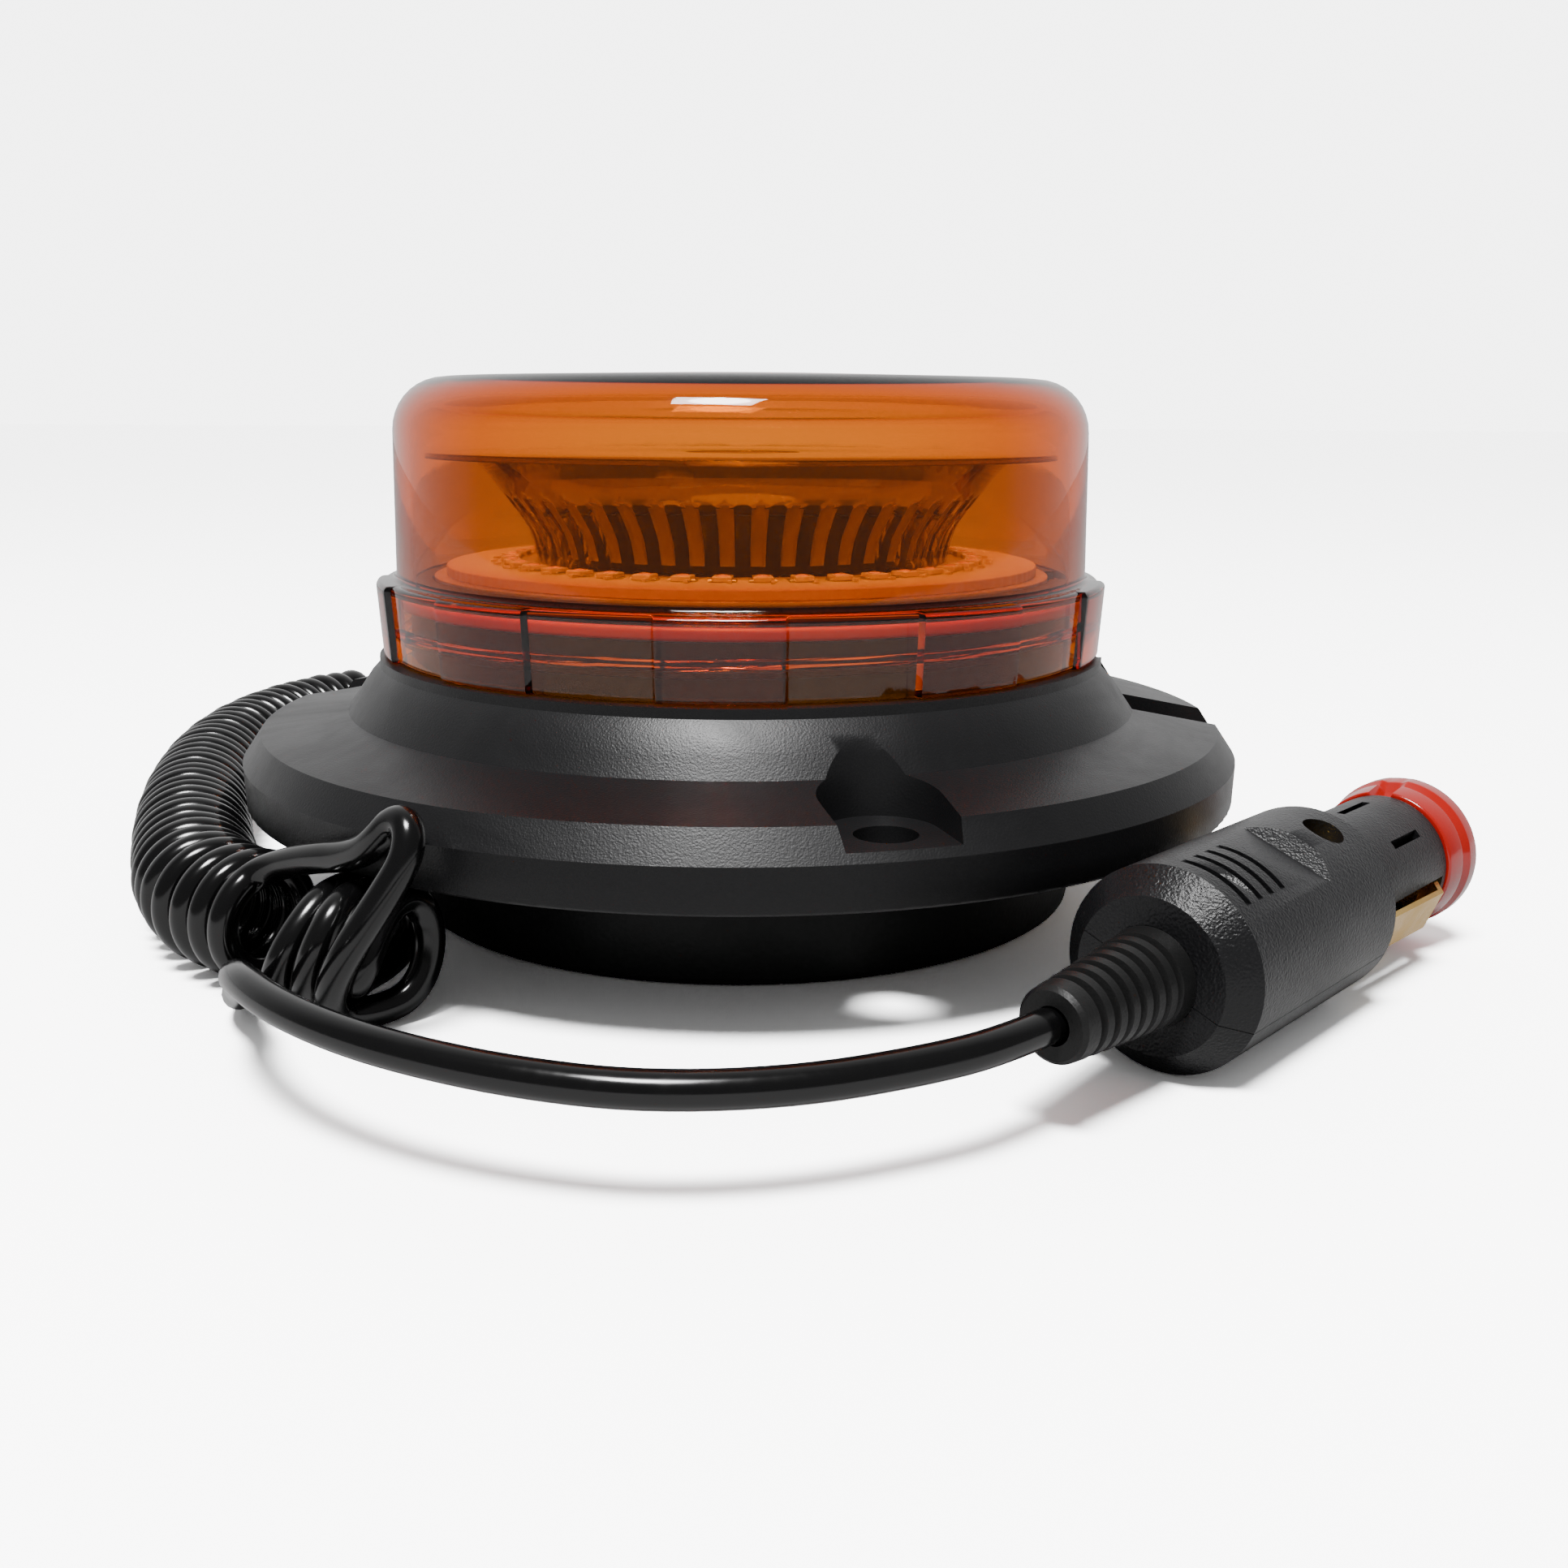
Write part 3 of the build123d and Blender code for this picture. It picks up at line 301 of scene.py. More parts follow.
# ================================================================ shaping
def make_piece(name, points, faces, material, replaces=(), body="root", crease=32):
    """A mesh from points in millimetres, smooth except at creases, that stands for CAD nodes."""
    mesh = bpy.data.meshes.new(name)
    mesh.from_pydata([(x * MM, y * MM, z * MM) for x, y, z in points], [], faces)
    shape = bmesh.new()
    shape.from_mesh(mesh)
    bmesh.ops.remove_doubles(shape, verts=shape.verts, dist=1e-7)
    bmesh.ops.dissolve_degenerate(shape, dist=1e-7, edges=shape.edges)
    bmesh.ops.recalc_face_normals(shape, faces=shape.faces)
    shape.to_mesh(mesh)
    shape.free()
    return place_mesh(name, mesh, material, replaces, body, crease)


def place_mesh(name, mesh, material, replaces=(), body="root", crease=32):
    """Puts a finished mesh on a body."""
    mesh.materials.clear()
    for one in material if isinstance(material, (list, tuple)) else [material]:
        mesh.materials.append(one)
    mesh.shade_smooth()
    mesh.set_sharp_from_angle(angle=radians(crease))
    piece = bpy.data.objects.new(name, mesh)
    bpy.context.scene.collection.objects.link(piece)
    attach(piece, body)
    if replaces:
        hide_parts(*replaces)
    return piece


def rounded(corners, closed=True, steps=5):
    """An outline whose corners (across, up, rounding) are small arcs."""
    made = []
    count = len(corners)
    for i, (x, y, rounding) in enumerate(corners):
        if rounding <= 0 or (not closed and i in (0, count - 1)):
            made.append((x, y))
            continue
        at = Vector((x, y))
        before = Vector(corners[i - 1][:2]) - at
        after = Vector(corners[(i + 1) % count][:2]) - at
        before.normalize()
        after.normalize()
        half = before.angle(after) / 2
        reach = rounding / tan(half)
        middle = (before + after).normalized() * (rounding / sin(half)) + at
        first = at + before * reach - middle
        last = at + after * reach - middle
        for k in range(steps + 1):
            arm = first.slerp(last, k / steps) * rounding
            made.append((middle.x + arm.x, middle.y + arm.y))
    return made


def turned(outline, steps):
    """Sweeps outline(angle), a closed list of (radius, height), round the upright axis."""
    points = []
    for i in range(steps):
        angle = 2 * pi * i / steps
        row = outline(angle)
        points += [(r * cos(angle), r * sin(angle), z) for r, z in row]
    size = len(row)
    faces = []
    for i in range(steps):
        near = i * size
        far = (i + 1) % steps * size
        for j in range(size):
            k = (j + 1) % size
            faces.append((near + j, near + k, far + k, far + j))
    return points, faces


def smooth_step(value, low, high):
    """0 below low, 1 above high, and smooth between."""
    t = min(1.0, max(0.0, (value - low) / (high - low)))
    return t * t * (3 - 2 * t)


def turn_apart(angle, other):
    """Degrees between two directions given in degrees."""
    return abs((angle - other + 180) % 360 - 180)


def from_middle(angle, spacing):
    """Degrees from the middle of the nearest of the equal spaces round a ring."""
    return turn_apart(angle * 180 / pi % spacing, spacing / 2)


# ================================================================ lens
PAD_SPACING, PAD_WIDTH, PAD_START = 36, 18.05, 102
THREAD_BOTTOM, THREAD_PITCH, THREAD_DEPTH = 43.1, 3.0, 1.15
THREAD_RUN = 2.5 * pi
BORE_RADIUS, BORE_TOP, LENS_UNDERSIDE = 55.0, 50.0, 40.2
GRIP_RADIUS = 57.6


def pad_height(angle):
    """How far the grip ring's pads stand out at an angle, from 0 to 1."""
    # Divided by pi last: math.degrees rounds the other way right at the pads' edges.
    around = (angle * 180 / pi + PAD_START) % PAD_SPACING
    return smooth_step(around, -0.05, 0.6) * (1 - smooth_step(around, PAD_WIDTH - 0.65, PAD_WIDTH))


def lens_thread(angle, height):
    """How far the inner thread's rib stands out of the bore."""
    rib = 0.0
    for lap in range(2):
        along = angle + 2 * pi * lap
        if along > THREAD_RUN:
            continue
        fade = smooth_step(along, 0, 0.3) * (1 - smooth_step(along, THREAD_RUN - 0.3, THREAD_RUN))
        middle = THREAD_BOTTOM + THREAD_PITCH * along / (2 * pi)
        rib = max(rib, fade * (1 - smooth_step(abs(height - middle), 0.3, 0.68)))
    return THREAD_DEPTH * rib


def lens_outline(angle):
    """The lens's section: grip ring, wall, corner and nearly flat top, then down the inside."""
    grip = GRIP_RADIUS + pad_height(angle)
    outer = rounded([
        (BORE_RADIUS, LENS_UNDERSIDE, 0.25),
        (grip - 0.7, LENS_UNDERSIDE, 0.6),
        (grip, 51.75, 0.9),
        (55.4, 52.0, 0.9),
        (54.75, 82.35, 8.2),
        (20.0, 83.25, 0.0),
    ], closed=False, steps=9)
    inner = rounded([
        (20.0, 80.75, 0.0),
        (52.25, 79.85, 5.7),
        (52.85, 50.6, 0.5),
        (BORE_RADIUS, BORE_TOP + 0.5, 0.3),
        (BORE_RADIUS, LENS_UNDERSIDE, 0.25),
    ], closed=False, steps=7)
    bore_heights = [BORE_TOP - 0.24 * i for i in range(40)]
    ribbed = [(BORE_RADIUS - lens_thread(angle, z), z) for z in bore_heights]
    top_middle = [(0.0, 83.4), (0.0, 80.9)]
    return outer[1:] + top_middle + inner[:-1] + ribbed + [(BORE_RADIUS, LENS_UNDERSIDE + 0.25)]


points, faces = turned(lens_outline, steps=720)
make_piece("amber_lens", points, faces, amber, ["lens_dome"], body="lens", crease=40)

seal_section = rounded([(52.75, 48.25, 0.5), (54.65, 48.25, 0.5), (54.7, 50.15, 0.6), (52.75, 50.15, 0.6)])
points, faces = turned(lambda angle: seal_section, steps=180)
make_piece("seal_ring", points, faces, seal_red, ["lens_seal"], body="seal")


# ================================================================ light engine
FLUTE_SPACING, FLUTE_BOTTOM, FLUTE_TOP, FLUTE_DEPTH = 7.5, 55.3, 65.2, 0.75
LAMP_COUNT, LAMP_RING_RADIUS = 42, 37.6
BOARD_RADIUS, NIB_SPACING, NIB_DEPTH = 47.6, 3.0, 0.12


def flute(angle, height):
    """Depth of the optic's upright flutes, round-topped, at an angle and a height, from 0 to 1."""
    around = from_middle(angle, FLUTE_SPACING)
    top = FLUTE_TOP - 0.25 * around
    across = 1 - smooth_step(around, 1.7, 2.15)
    above_bottom = smooth_step(height, FLUTE_BOTTOM, FLUTE_BOTTOM + 0.6)
    return across * (1 - smooth_step(height, top - 0.5, top)) * above_bottom


def optic_outline(angle):
    """The trumpet's section with its flutes."""
    flare = [
        (33.2, 54.5), (33.3, 55.2), (33.5, 56.0), (33.85, 57.5), (34.5, 59.5), (35.4, 61.0), (36.4, 62.4),
        (37.3, 63.6), (37.9, 64.4), (38.3, 64.9), (38.7, 65.4), (39.3, 66.2), (40.2, 67.4), (41.2, 68.7),
        (42.2, 69.6), (43.1, 70.3),
    ]
    outside = [(r - FLUTE_DEPTH * flute(angle, z), z) for r, z in flare]
    return outside + [(31.4, 70.3), (31.3, 64.6), (29.2, 64.5), (29.2, 54.5)]


points, faces = turned(optic_outline, steps=768)
fluted = make_piece(
    "fluted_optic", points, faces, [optic_clear, optic_groove_painted_shade], ["optic_ring"], crease=50
)
# The flutes' deepest faces get the painted shade finish.
for face in fluted.data.polygons:
    middle = face.center / MM
    on_outside = hypot(middle.x, middle.y) > 32
    if on_outside and flute(atan2(middle.y, middle.x) % (2 * pi), middle.z) > 0.8:
        face.material_index = 1

disc_section = rounded([(9.2, 70.5, 0.2), (50.3, 70.5, 0.25), (50.3, 71.4, 0.3), (9.2, 71.4, 0.2)])
points, faces = turned(lambda angle: disc_section, steps=240)
make_piece("top_disc", points, faces, disc_clear, ["optic_disc"])


def board_outline(angle):
    """The lamp board, whose routed edge has small nibs all round."""
    edge = BOARD_RADIUS - NIB_DEPTH * (1 - smooth_step(from_middle(angle, NIB_SPACING), 0.3, 0.7))
    return rounded([(8.2, 52.75, 0.1), (edge, 52.75, 0.15), (edge, 54.3, 0.2), (8.2, 54.3, 0.1)], steps=3)


points, faces = turned(board_outline, steps=720)
make_piece("lamp_board", points, faces, board_white, ["led_board"])


def chamfered_block(place, size, cut):
    """A block with chamfered upper edges: place is the middle of its underside."""
    x, y, z = place
    a, b, h = size[0] / 2, size[1] / 2, size[2]
    rings = [(a, b, 0.0), (a, b, h - cut), (a - cut, b - cut, h)]
    points = [(x + sx * p, y + sy * q, z + up) for p, q, up in rings
              for sx, sy in ((-1, -1), (1, -1), (1, 1), (-1, 1))]
    faces = [(3, 2, 1, 0), (8, 9, 10, 11)]
    for level in (0, 4):
        for k in range(4):
            following = (k + 1) % 4
            faces.append((level + k, level + following, level + 4 + following, level + 4 + k))
    return points, faces


def small_dome(place, radius, height, sides=16, rings=4):
    """A low round lens."""
    x, y, z = place
    points = []
    for ring in range(rings):
        lean = pi / 2 * ring / rings
        reach = radius * cos(lean)
        for k in range(sides):
            angle = 2 * pi * k / sides
            points.append((x + reach * cos(angle), y + reach * sin(angle), z + height * sin(lean)))
    points.append((x, y, z + height))
    faces = [tuple(range(sides - 1, -1, -1))]
    for ring in range(rings - 1):
        low, high = ring * sides, (ring + 1) * sides
        for k in range(sides):
            following = (k + 1) % sides
            faces.append((low + k, low + following, high + following, high + k))
    last = (rings - 1) * sides
    faces += [(last + k, last + (k + 1) % sides, len(points) - 1) for k in range(sides)]
    return points, faces


def repeated(shapes, count, radius):
    """Copies of small shapes round a ring; each shape comes with its finish's number."""
    points, faces, numbers = [], [], []
    for i in range(count):
        angle = 2 * pi * i / count
        c, s = cos(angle), sin(angle)
        for (part_points, part_faces), number in shapes:
            first = len(points)
            for x, y, z in part_points:
                points.append(((radius + x) * c - y * s, (radius + x) * s + y * c, z))
            faces += [tuple(first + k for k in face) for face in part_faces]
            numbers += [number] * len(part_faces)
    return points, faces, numbers


def make_mixed_piece(name, points, faces, numbers, finishes, replaces):
    """A piece of several small shapes with a finish each."""
    mesh = bpy.data.meshes.new(name)
    mesh.from_pydata([(x * MM, y * MM, z * MM) for x, y, z in points], [], faces)
    place_mesh(name, mesh, finishes, replaces)
    for face, number in zip(mesh.polygons, numbers):
        face.material_index = number


BODY, PHOSPHOR, JOINT = 0, 1, 2
package = [
    (chamfered_block((0, 0, 54.42), (2.8, 2.8, 0.75), 0.12), BODY),
    (small_dome((0, 0, 55.17), 0.95, 0.22), PHOSPHOR),
    (chamfered_block((0, 1.65, 54.4), (1.5, 0.7, 0.28), 0.1), JOINT),
    (chamfered_block((0, -1.65, 54.4), (1.5, 0.7, 0.28), 0.1), JOINT),
    (chamfered_block((2.5, 1.2, 54.4), (1.1, 0.6, 0.4), 0.06), BODY),
]
points, faces, numbers = repeated(package, LAMP_COUNT, LAMP_RING_RADIUS)
package_finishes = [led_body, led_lens, solder]
make_mixed_piece("ring_lamps", points, faces, numbers, package_finishes, ["led_chips"])


# ================================================================ foot
# The rubber cover's section: a rolled lip at the floor and a shallow groove below its top.
FOOT_RADIUS, FOOT_BORE, FOOT_TOP = 54.8, 52.45, 15.0
foot_section = rounded([
    (0.0, 0.0, 0), (20.0, 0.0, 0), (48.0, 0.0, 0.4), (48.4, 0.5, 0.2), (49.6, 0.5, 0.2), (50.0, 0.0, 0.4),
    (FOOT_RADIUS, 0.0, 1.3), (FOOT_RADIUS, 10.6, 0.3), (54.3, 10.9, 0.3), (54.3, 11.9, 0.3),
    (FOOT_RADIUS, 12.2, 0.3), (FOOT_RADIUS, FOOT_TOP, 0.6), (FOOT_BORE, FOOT_TOP, 0.3),
    (FOOT_BORE, 2.0, 0.3), (0.0, 2.0, 0),
], steps=4)
points, faces = turned(lambda angle: foot_section, steps=240)
make_piece("rubber_cover", points, faces, foot_rubber, ["rubber_foot"])


# ================================================================ adapter
PLUG_ROOT = Vector((33.4, -101.0, 13.0))
PLUG_AXIS = Vector((0.6921, 0.7218, 0.0))
PLUG_UP = Vector((0.2704, -0.2593, 0.9272))
PLUG_SIDE = PLUG_UP.cross(PLUG_AXIS)
ADAPTER_BORE, ADAPTER_RADIUS, ADAPTER_START, ADAPTER_END = 6.15, 11.1, 89.35, 99.3
NOTCH_AT, SEAM_AT = 62, 250


def adapter_outline(angle):
    """The socket adapter's section: a stepped collar with a bayonet notch and a shallow seam."""
    turn = angle * 180 / pi
    notch = 1 - smooth_step(turn_apart(turn, NOTCH_AT), 7.0, 9.0)
    seam = 0.12 * (1 - smooth_step(turn_apart(turn, SEAM_AT), 0.6, 1.4))
    lead = 10.7 - 1.9 * notch - seam
    return rounded([
        (ADAPTER_BORE, ADAPTER_START, 0.2),
        (lead - 0.5, ADAPTER_START, 0.4),
        (lead, 93.0, 0.5),
        (10.35 - notch - seam, 93.6, 0.4),
        (ADAPTER_RADIUS - 0.4 * notch - seam, 94.9, 0.6),
        (ADAPTER_RADIUS - seam, 97.6, 1.3),
        (9.3, ADAPTER_END, 0.8),
        (ADAPTER_BORE, ADAPTER_END, 0.4),
    ], steps=4)


around, faces = turned(adapter_outline, steps=180)
points = [PLUG_ROOT + PLUG_AXIS * s + PLUG_SIDE * x + PLUG_UP * y for x, y, s in around]
make_piece("red_adapter", points, faces, adapter_red, ["adapter_ring"], body="adapter")


# ================================================================ cord
TAIL_ROUTE = [
    (-0.03677, 0.07885, 0.0105), (-0.04142, 0.08882, 0.0099), (-0.046, 0.1035, 0.0076),
    (-0.0545, 0.113, 0.0054), (-0.066, 0.1176, 0.0056), (-0.0765, 0.1160, 0.0066),
]
COIL_ROUTE = [
    (-0.082, 0.1105, 0.0094), (-0.093, 0.0995, 0.0094), (-0.0998, 0.0855, 0.0094),
    (-0.103, 0.0705, 0.0094), (-0.1034, 0.055, 0.0094), (-0.102, 0.0395, 0.0094),
    (-0.0992, 0.0242, 0.0094), (-0.0956, 0.0092, 0.0094), (-0.0912, -0.0056, 0.0094),
    (-0.0862, -0.02, 0.0094), (-0.0812, -0.0335, 0.0094), (-0.0746, -0.0452, 0.0094),
    (-0.0646, -0.0526, 0.0094),
]
LOOP_ROUTE = [
    (-0.0629, -0.0554, 0.0179), (-0.0588, -0.0584, 0.0196), (-0.0549, -0.0616, 0.0209),
    (-0.0512, -0.0646, 0.0219), (-0.0479, -0.0674, 0.0234), (-0.0455, -0.0692, 0.0256),
    (-0.0436, -0.0700, 0.0278), (-0.0417, -0.0715, 0.0284), (-0.0408, -0.0732, 0.0270),
    (-0.0412, -0.0744, 0.0242), (-0.0434, -0.0751, 0.0206), (-0.0460, -0.0757, 0.0168),
    (-0.0486, -0.0761, 0.0130), (-0.0507, -0.0753, 0.0090), (-0.0518, -0.0734, 0.0052),
    (-0.0513, -0.0708, 0.0027),
]
FIRST_TURN = [
    (-0.0492, -0.0690, 0.0021), (-0.0466, -0.0671, 0.0021), (-0.0440, -0.0650, 0.0027),
    (-0.0420, -0.0630, 0.0054), (-0.0412, -0.0618, 0.0094), (-0.0417, -0.0618, 0.0136),
    (-0.0433, -0.0634, 0.0161), (-0.0451, -0.0656, 0.0158), (-0.0463, -0.0678, 0.0139),
    (-0.0472, -0.0700, 0.0115), (-0.0480, -0.0714, 0.0092), (-0.0490, -0.0712, 0.0071),
]
SECOND_TURN = [
    (-0.0496, -0.0690, 0.0062), (-0.0490, -0.0655, 0.0061), (-0.0472, -0.0615, 0.0061),
    (-0.0456, -0.0578, 0.0076), (-0.0450, -0.0560, 0.0110), (-0.0459, -0.0567, 0.0145),
    (-0.0478, -0.0596, 0.0161), (-0.0495, -0.0632, 0.0163), (-0.0504, -0.0670, 0.0171),
    (-0.0516, -0.0705, 0.0157), (-0.0534, -0.0724, 0.0119), (-0.0552, -0.0714, 0.0074),
]
THIRD_TURN = [
    (-0.0559, -0.0678, 0.0033), (-0.0548, -0.0636, 0.0021), (-0.0522, -0.0586, 0.0025),
    (-0.0500, -0.0548, 0.0054), (-0.0489, -0.0528, 0.0096), (-0.0494, -0.0532, 0.0136),
    (-0.0509, -0.0560, 0.0160), (-0.0526, -0.0604, 0.0164), (-0.0543, -0.0646, 0.0163),
    (-0.0567, -0.0680, 0.0131), (-0.0587, -0.0691, 0.0096), (-0.0603, -0.0678, 0.0055),
]
HOOK_ROUTE = [
    (-0.0608, -0.0644, 0.0026), (-0.0602, -0.0610, 0.0021), (-0.0609, -0.0584, 0.0021),
    (-0.0632, -0.0574, 0.0021), (-0.0656, -0.0585, 0.0021), (-0.0663, -0.0618, 0.0023),
    (-0.0652, -0.0676, 0.0043),
]
LEAD_ROUTE = [
    (-0.0616, -0.0752, 0.0084), (-0.0602, -0.0826, 0.0126), (-0.057, -0.09, 0.0146),
    (-0.0516, -0.0972, 0.0146), (-0.0442, -0.1038, 0.0143), (-0.0354, -0.1094, 0.014),
    (-0.0235, -0.1142, 0.0134), (-0.01, -0.117, 0.0129), (0.005, -0.1154, 0.0126),
    (0.0185, -0.1106, 0.0127), (0.028, -0.1056, 0.0129), (0.03686, -0.09739, 0.013),
]
CORD_DIAMETER = 0.0042
TURN_RADIUS = 0.0072
TURN_PITCH = 0.0044
POINTS_PER_TURN = 14
PULLED_IN = 0.975  # the smooth curve runs this much inside its control points' circle
FIRST_REACH = 0.75  # the first turn's radius as a share of the others'
LAST_ANGLE = radians(20)
UP = Vector((0, 0, 1))


def smooth_curve(name, route):
    """One open curve that the route's points pull on."""
    data = bpy.data.curves.new(name, "CURVE")
    data.dimensions = "3D"
    data.resolution_u = 6
    spline = data.splines.new("NURBS")
    spline.points.add(len(route) - 1)
    for point, at in zip(spline.points, route):
        point.co = (*at, 1)
    spline.order_u = 3
    spline.use_endpoint_u = True
    return data


def line_along(route):
    """Points closely spaced along a route's smooth line."""
    holder = bpy.data.objects.new("line", smooth_curve("line", route))
    mesh = bpy.data.meshes.new_from_object(holder)
    line = [corner.co.copy() for corner in mesh.vertices]
    bpy.data.objects.remove(holder)
    return line


def spot_on(line, distance):
    """The point and direction at a distance along a line."""
    for here, there in zip(line, line[1:]):
        step = there - here
        if distance <= step.length or there is line[-1]:
            return here + step.normalized() * distance, step.normalized()
        distance -= step.length


def windings(line, turns, last_angle, advance, radius):
    """Left-hand turns along a line. advance and radius are functions of the turn reached."""
    count = round(turns * POINTS_PER_TURN)
    made = []
    for k in range(count + 1):
        turn = turns * k / count
        at, along = spot_on(line, advance(turn))
        side = along.cross(UP).normalized()
        angle = last_angle + 2 * pi * (turns - turn)
        reach = radius(turn)
        made.append(at + UP * cos(angle) * reach + side * sin(angle) * reach)
    return made


coil_line = line_along(COIL_ROUTE)
coil_length = sum((there - here).length for here, there in zip(coil_line, coil_line[1:]))
coil_turns = coil_length / TURN_PITCH - 1.2


def coil_advance(turn):
    """The first turn is drawn out where the tail runs in; the rest lie touching."""
    spare = coil_length - coil_turns * TURN_PITCH
    return min(coil_length - 1e-5, spare * smooth_step(turn, 0, 1.2) + turn * TURN_PITCH)


def coil_reach(turn):
    """The turns open up from the tail, and differ a little."""
    opening = FIRST_REACH + (1 - FIRST_REACH) * smooth_step(turn, 0, 0.9)
    return TURN_RADIUS / PULLED_IN * opening * (1 + 0.012 * sin(2.3 * turn))


main_turns = windings(coil_line, coil_turns, LAST_ANGLE, coil_advance, coil_reach)
loose_turns = LOOP_ROUTE + FIRST_TURN + SECOND_TURN + THIRD_TURN + HOOK_ROUTE
cord_route = TAIL_ROUTE + main_turns + loose_turns + LEAD_ROUTE
cord_curve = smooth_curve("curly_cord", cord_route)
cord_curve.bevel_depth = CORD_DIAMETER / 2
cord_curve.bevel_resolution = 6
cord_curve.use_fill_caps = True
cord_curve.materials.append(cord_black)
cord = bpy.data.objects.new("curly_cord", cord_curve)
bpy.context.scene.collection.objects.link(cord)
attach(cord, "root")
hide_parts("cord_tail", "cord_coil", "cord_bridge", "cord_end_coil", "cord_lead")


# ================================================================ nodes that keep their shape
def dress(name, material):
    """Gives a CAD node its finish and clean shading."""
    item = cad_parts[name]
    item.data.materials.clear()
    item.data.materials.append(material)
    item.data.shade_smooth()
    weld = item.modifiers.new("joined corners", "WELD")
    weld.merge_threshold = 1e-6
    split = item.modifiers.new("crisp edges", "EDGE_SPLIT")
    split.split_angle = radians(30)


FINISHES = {
    "housing": housing_black, "base_plate": housing_black, "cable_gland": relief_black,
    "base_screws": zinc_steel, "magnet_pot": zinc_steel, "magnet_ring": magnet_dark,
    "foot_spacer": zinc_steel, "foot_bolt": zinc_steel, "foot_nut": zinc_steel,
    "heat_spreader": spreader_metal, "optic_core": inner_black, "board_standoffs": spreader_metal,
    "optic_screws": zinc_steel, "driver_board": board_green, "driver_screws": zinc_steel,
    "driver_inductor": ferrite, "driver_capacitors": sleeve_dark, "board_connector": inner_black,
    "inner_wire_red": wire_red, "inner_wire_black": wire_black, "plug_strain_relief": relief_black,
    "plug_upper_shell": plug_black, "plug_lower_shell": plug_black, "plug_screw": brass_bright,
    "side_contact_front": brass_bright, "side_contact_back": brass_bright, "tip_pin": brass_bright,
    "plug_fuse": fuse_clear, "tip_spring": zinc_steel, "fuse_holder": inner_black,
}
for name, material in FINISHES.items():
    dress(name, material)


# ================================================================ studio
def place_camera():
    """The eye: a little above the beacon and straight in front of it. Its turns are in radians."""
    lean, swing, tilt = 0.2351, 0.0268, 0.005
    ahead = Vector((sin(swing) * cos(lean), cos(swing) * cos(lean), -sin(lean)))
    level = Vector((cos(swing), -sin(swing), 0))
    above = level.cross(ahead)
    right = level * cos(tilt) + above * sin(tilt)
    top = above * cos(tilt) - level * sin(tilt)
    data = bpy.data.cameras.new("eye")
    data.sensor_width = 36
    data.lens = 36.10248
    data.clip_start = 0.01
    camera = bpy.data.objects.new("eye", data)
    camera.matrix_world = Matrix((
        (right.x, top.x, -ahead.x, 0.0),
        (right.y, top.y, -ahead.y, -0.26),
        (right.z, top.z, -ahead.z, 0.07818),
        (0, 0, 0, 1),
    ))
    bpy.context.scene.collection.objects.link(camera)
    bpy.context.scene.camera = camera


def place_panel(name, place, target, size, power):
    """A rectangular lamp panel that faces a point."""
    data = bpy.data.lights.new(name, "AREA")
    data.shape = "RECTANGLE"
    data.size, data.size_y = size
    data.energy = power
    lamp = bpy.data.objects.new(name, data)
    lamp.location = place
    lamp.rotation_euler = (Vector(target) - Vector(place)).to_track_quat("-Z", "Y").to_euler()
    bpy.context.scene.collection.objects.link(lamp)


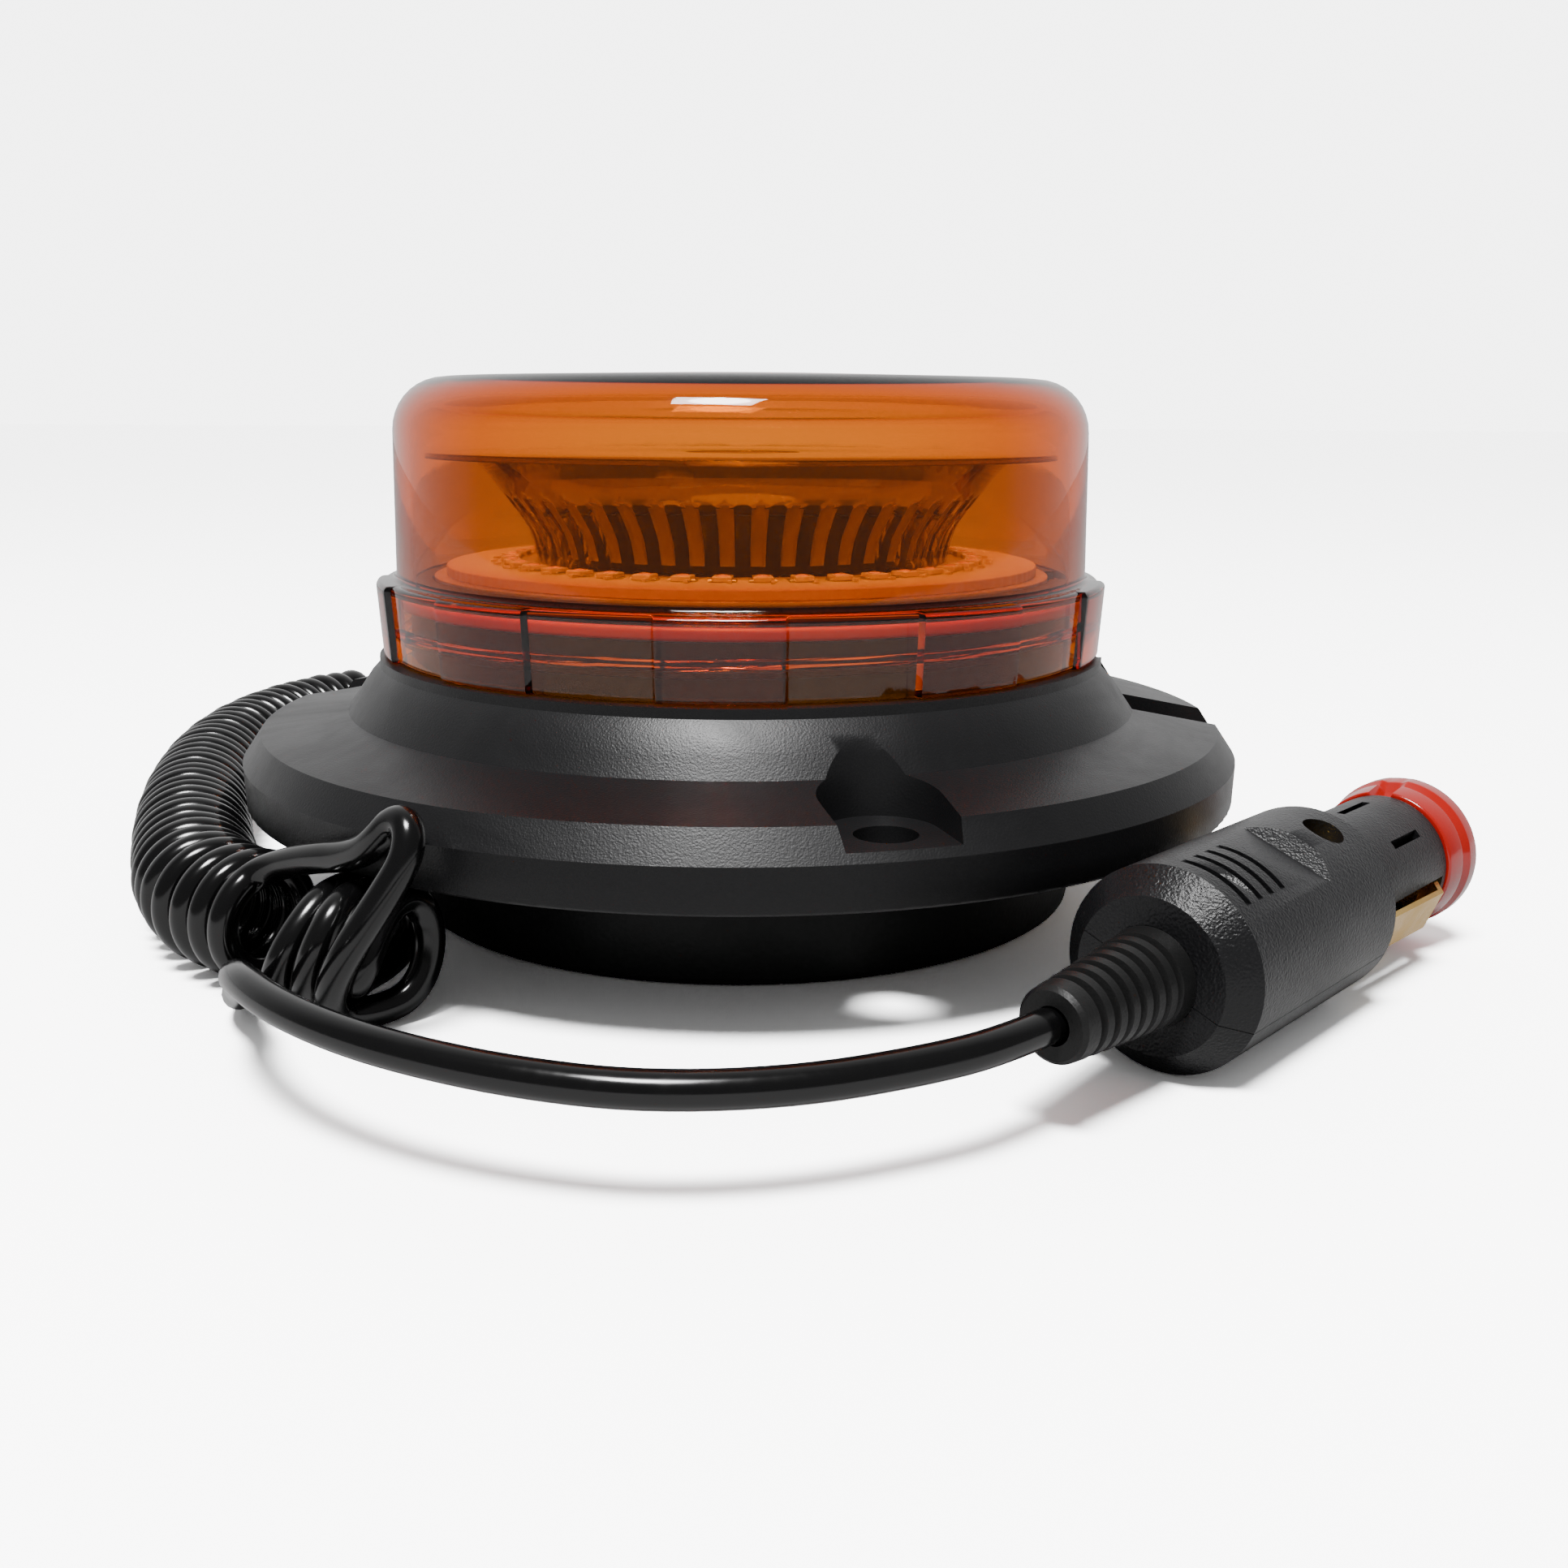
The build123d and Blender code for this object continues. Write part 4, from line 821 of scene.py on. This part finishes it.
def place_floor(half_width):
    """A wide pale sheet that the beacon stands on; it is brighter where it is looked at."""
    corners = [(x * half_width, y * half_width, 0) for x, y in ((-1, -1), (1, -1), (1, 1), (-1, 1))]
    data = bpy.data.meshes.new("floor")
    data.from_pydata(corners, [], [(0, 1, 2, 3)])
    material, tree, shader = new_finish("floor sheet", Roughness=0.7, Specular_IOR_Level=0.1)
    shader.inputs["Base Color"].default_value = (0.42, 0.42, 0.42, 1)
    bright = node(tree, "ShaderNodeBsdfDiffuse")
    bright.inputs["Color"].default_value = (3.6, 3.6, 3.6, 1)
    light = tree.nodes.new("ShaderNodeLightPath")
    mix = tree.nodes.new("ShaderNodeMixShader")
    tree.links.new(light.outputs["Is Camera Ray"], mix.inputs[0])
    tree.links.new(shader.outputs[0], mix.inputs[1])
    tree.links.new(bright.outputs[0], mix.inputs[2])
    tree.links.new(mix.outputs[0], tree.nodes["Material Output"].inputs["Surface"])
    data.materials.append(material)
    floor = bpy.data.objects.new("floor", data)
    floor.location.z = -0.0002
    bpy.context.scene.collection.objects.link(floor)


def place_sun(power, spread):
    """A broad even light from the same side as the panel."""
    data = bpy.data.lights.new("even light", "SUN")
    data.energy = power
    data.angle = radians(spread)
    lamp = bpy.data.objects.new("even light", data)
    lamp.rotation_euler = Vector((0.096, 0.39, -1)).to_track_quat("-Z", "Y").to_euler()
    bpy.context.scene.collection.objects.link(lamp)


def place_room(seen, through, front, back):
    """A white room: brightest where it is looked at, then through the lens; its fill is brighter behind."""
    world = bpy.data.worlds.new("room")
    world.use_nodes = True
    tree = world.node_tree
    wall = tree.nodes["Background"]
    wall.inputs["Color"].default_value = (1, 1, 1, 1)
    place = tree.nodes.new("ShaderNodeTexCoord")
    parts = tree.nodes.new("ShaderNodeSeparateXYZ")
    tree.links.new(place.outputs["Generated"], parts.inputs[0])
    fill = node(tree, "ShaderNodeMapRange", From_Min=0.0, From_Max=0.9, To_Min=front, To_Max=back)
    tree.links.new(parts.outputs["Y"], fill.inputs["Value"])
    light = tree.nodes.new("ShaderNodeLightPath")
    inside = math_node(tree, "MULTIPLY", light.outputs["Is Transmission Ray"], through)
    looked = math_node(tree, "MULTIPLY", light.outputs["Is Camera Ray"], seen)
    direct = math_node(tree, "MAXIMUM", inside, looked)
    power = math_node(tree, "MAXIMUM", direct, fill.outputs["Result"])
    tree.links.new(power, wall.inputs["Strength"])
    bpy.context.scene.world = world


place_camera()
place_panel(
    "lamp above", place=(-0.10, -0.40, 0.95), target=(0, -0.03, 0.03), size=(0.34, 0.24), power=11.0
)
place_sun(power=3.4, spread=14)
place_floor(half_width=6)
place_room(seen=5.4, through=1.5, front=0.18, back=1.1)

bpy.context.view_layer.update()
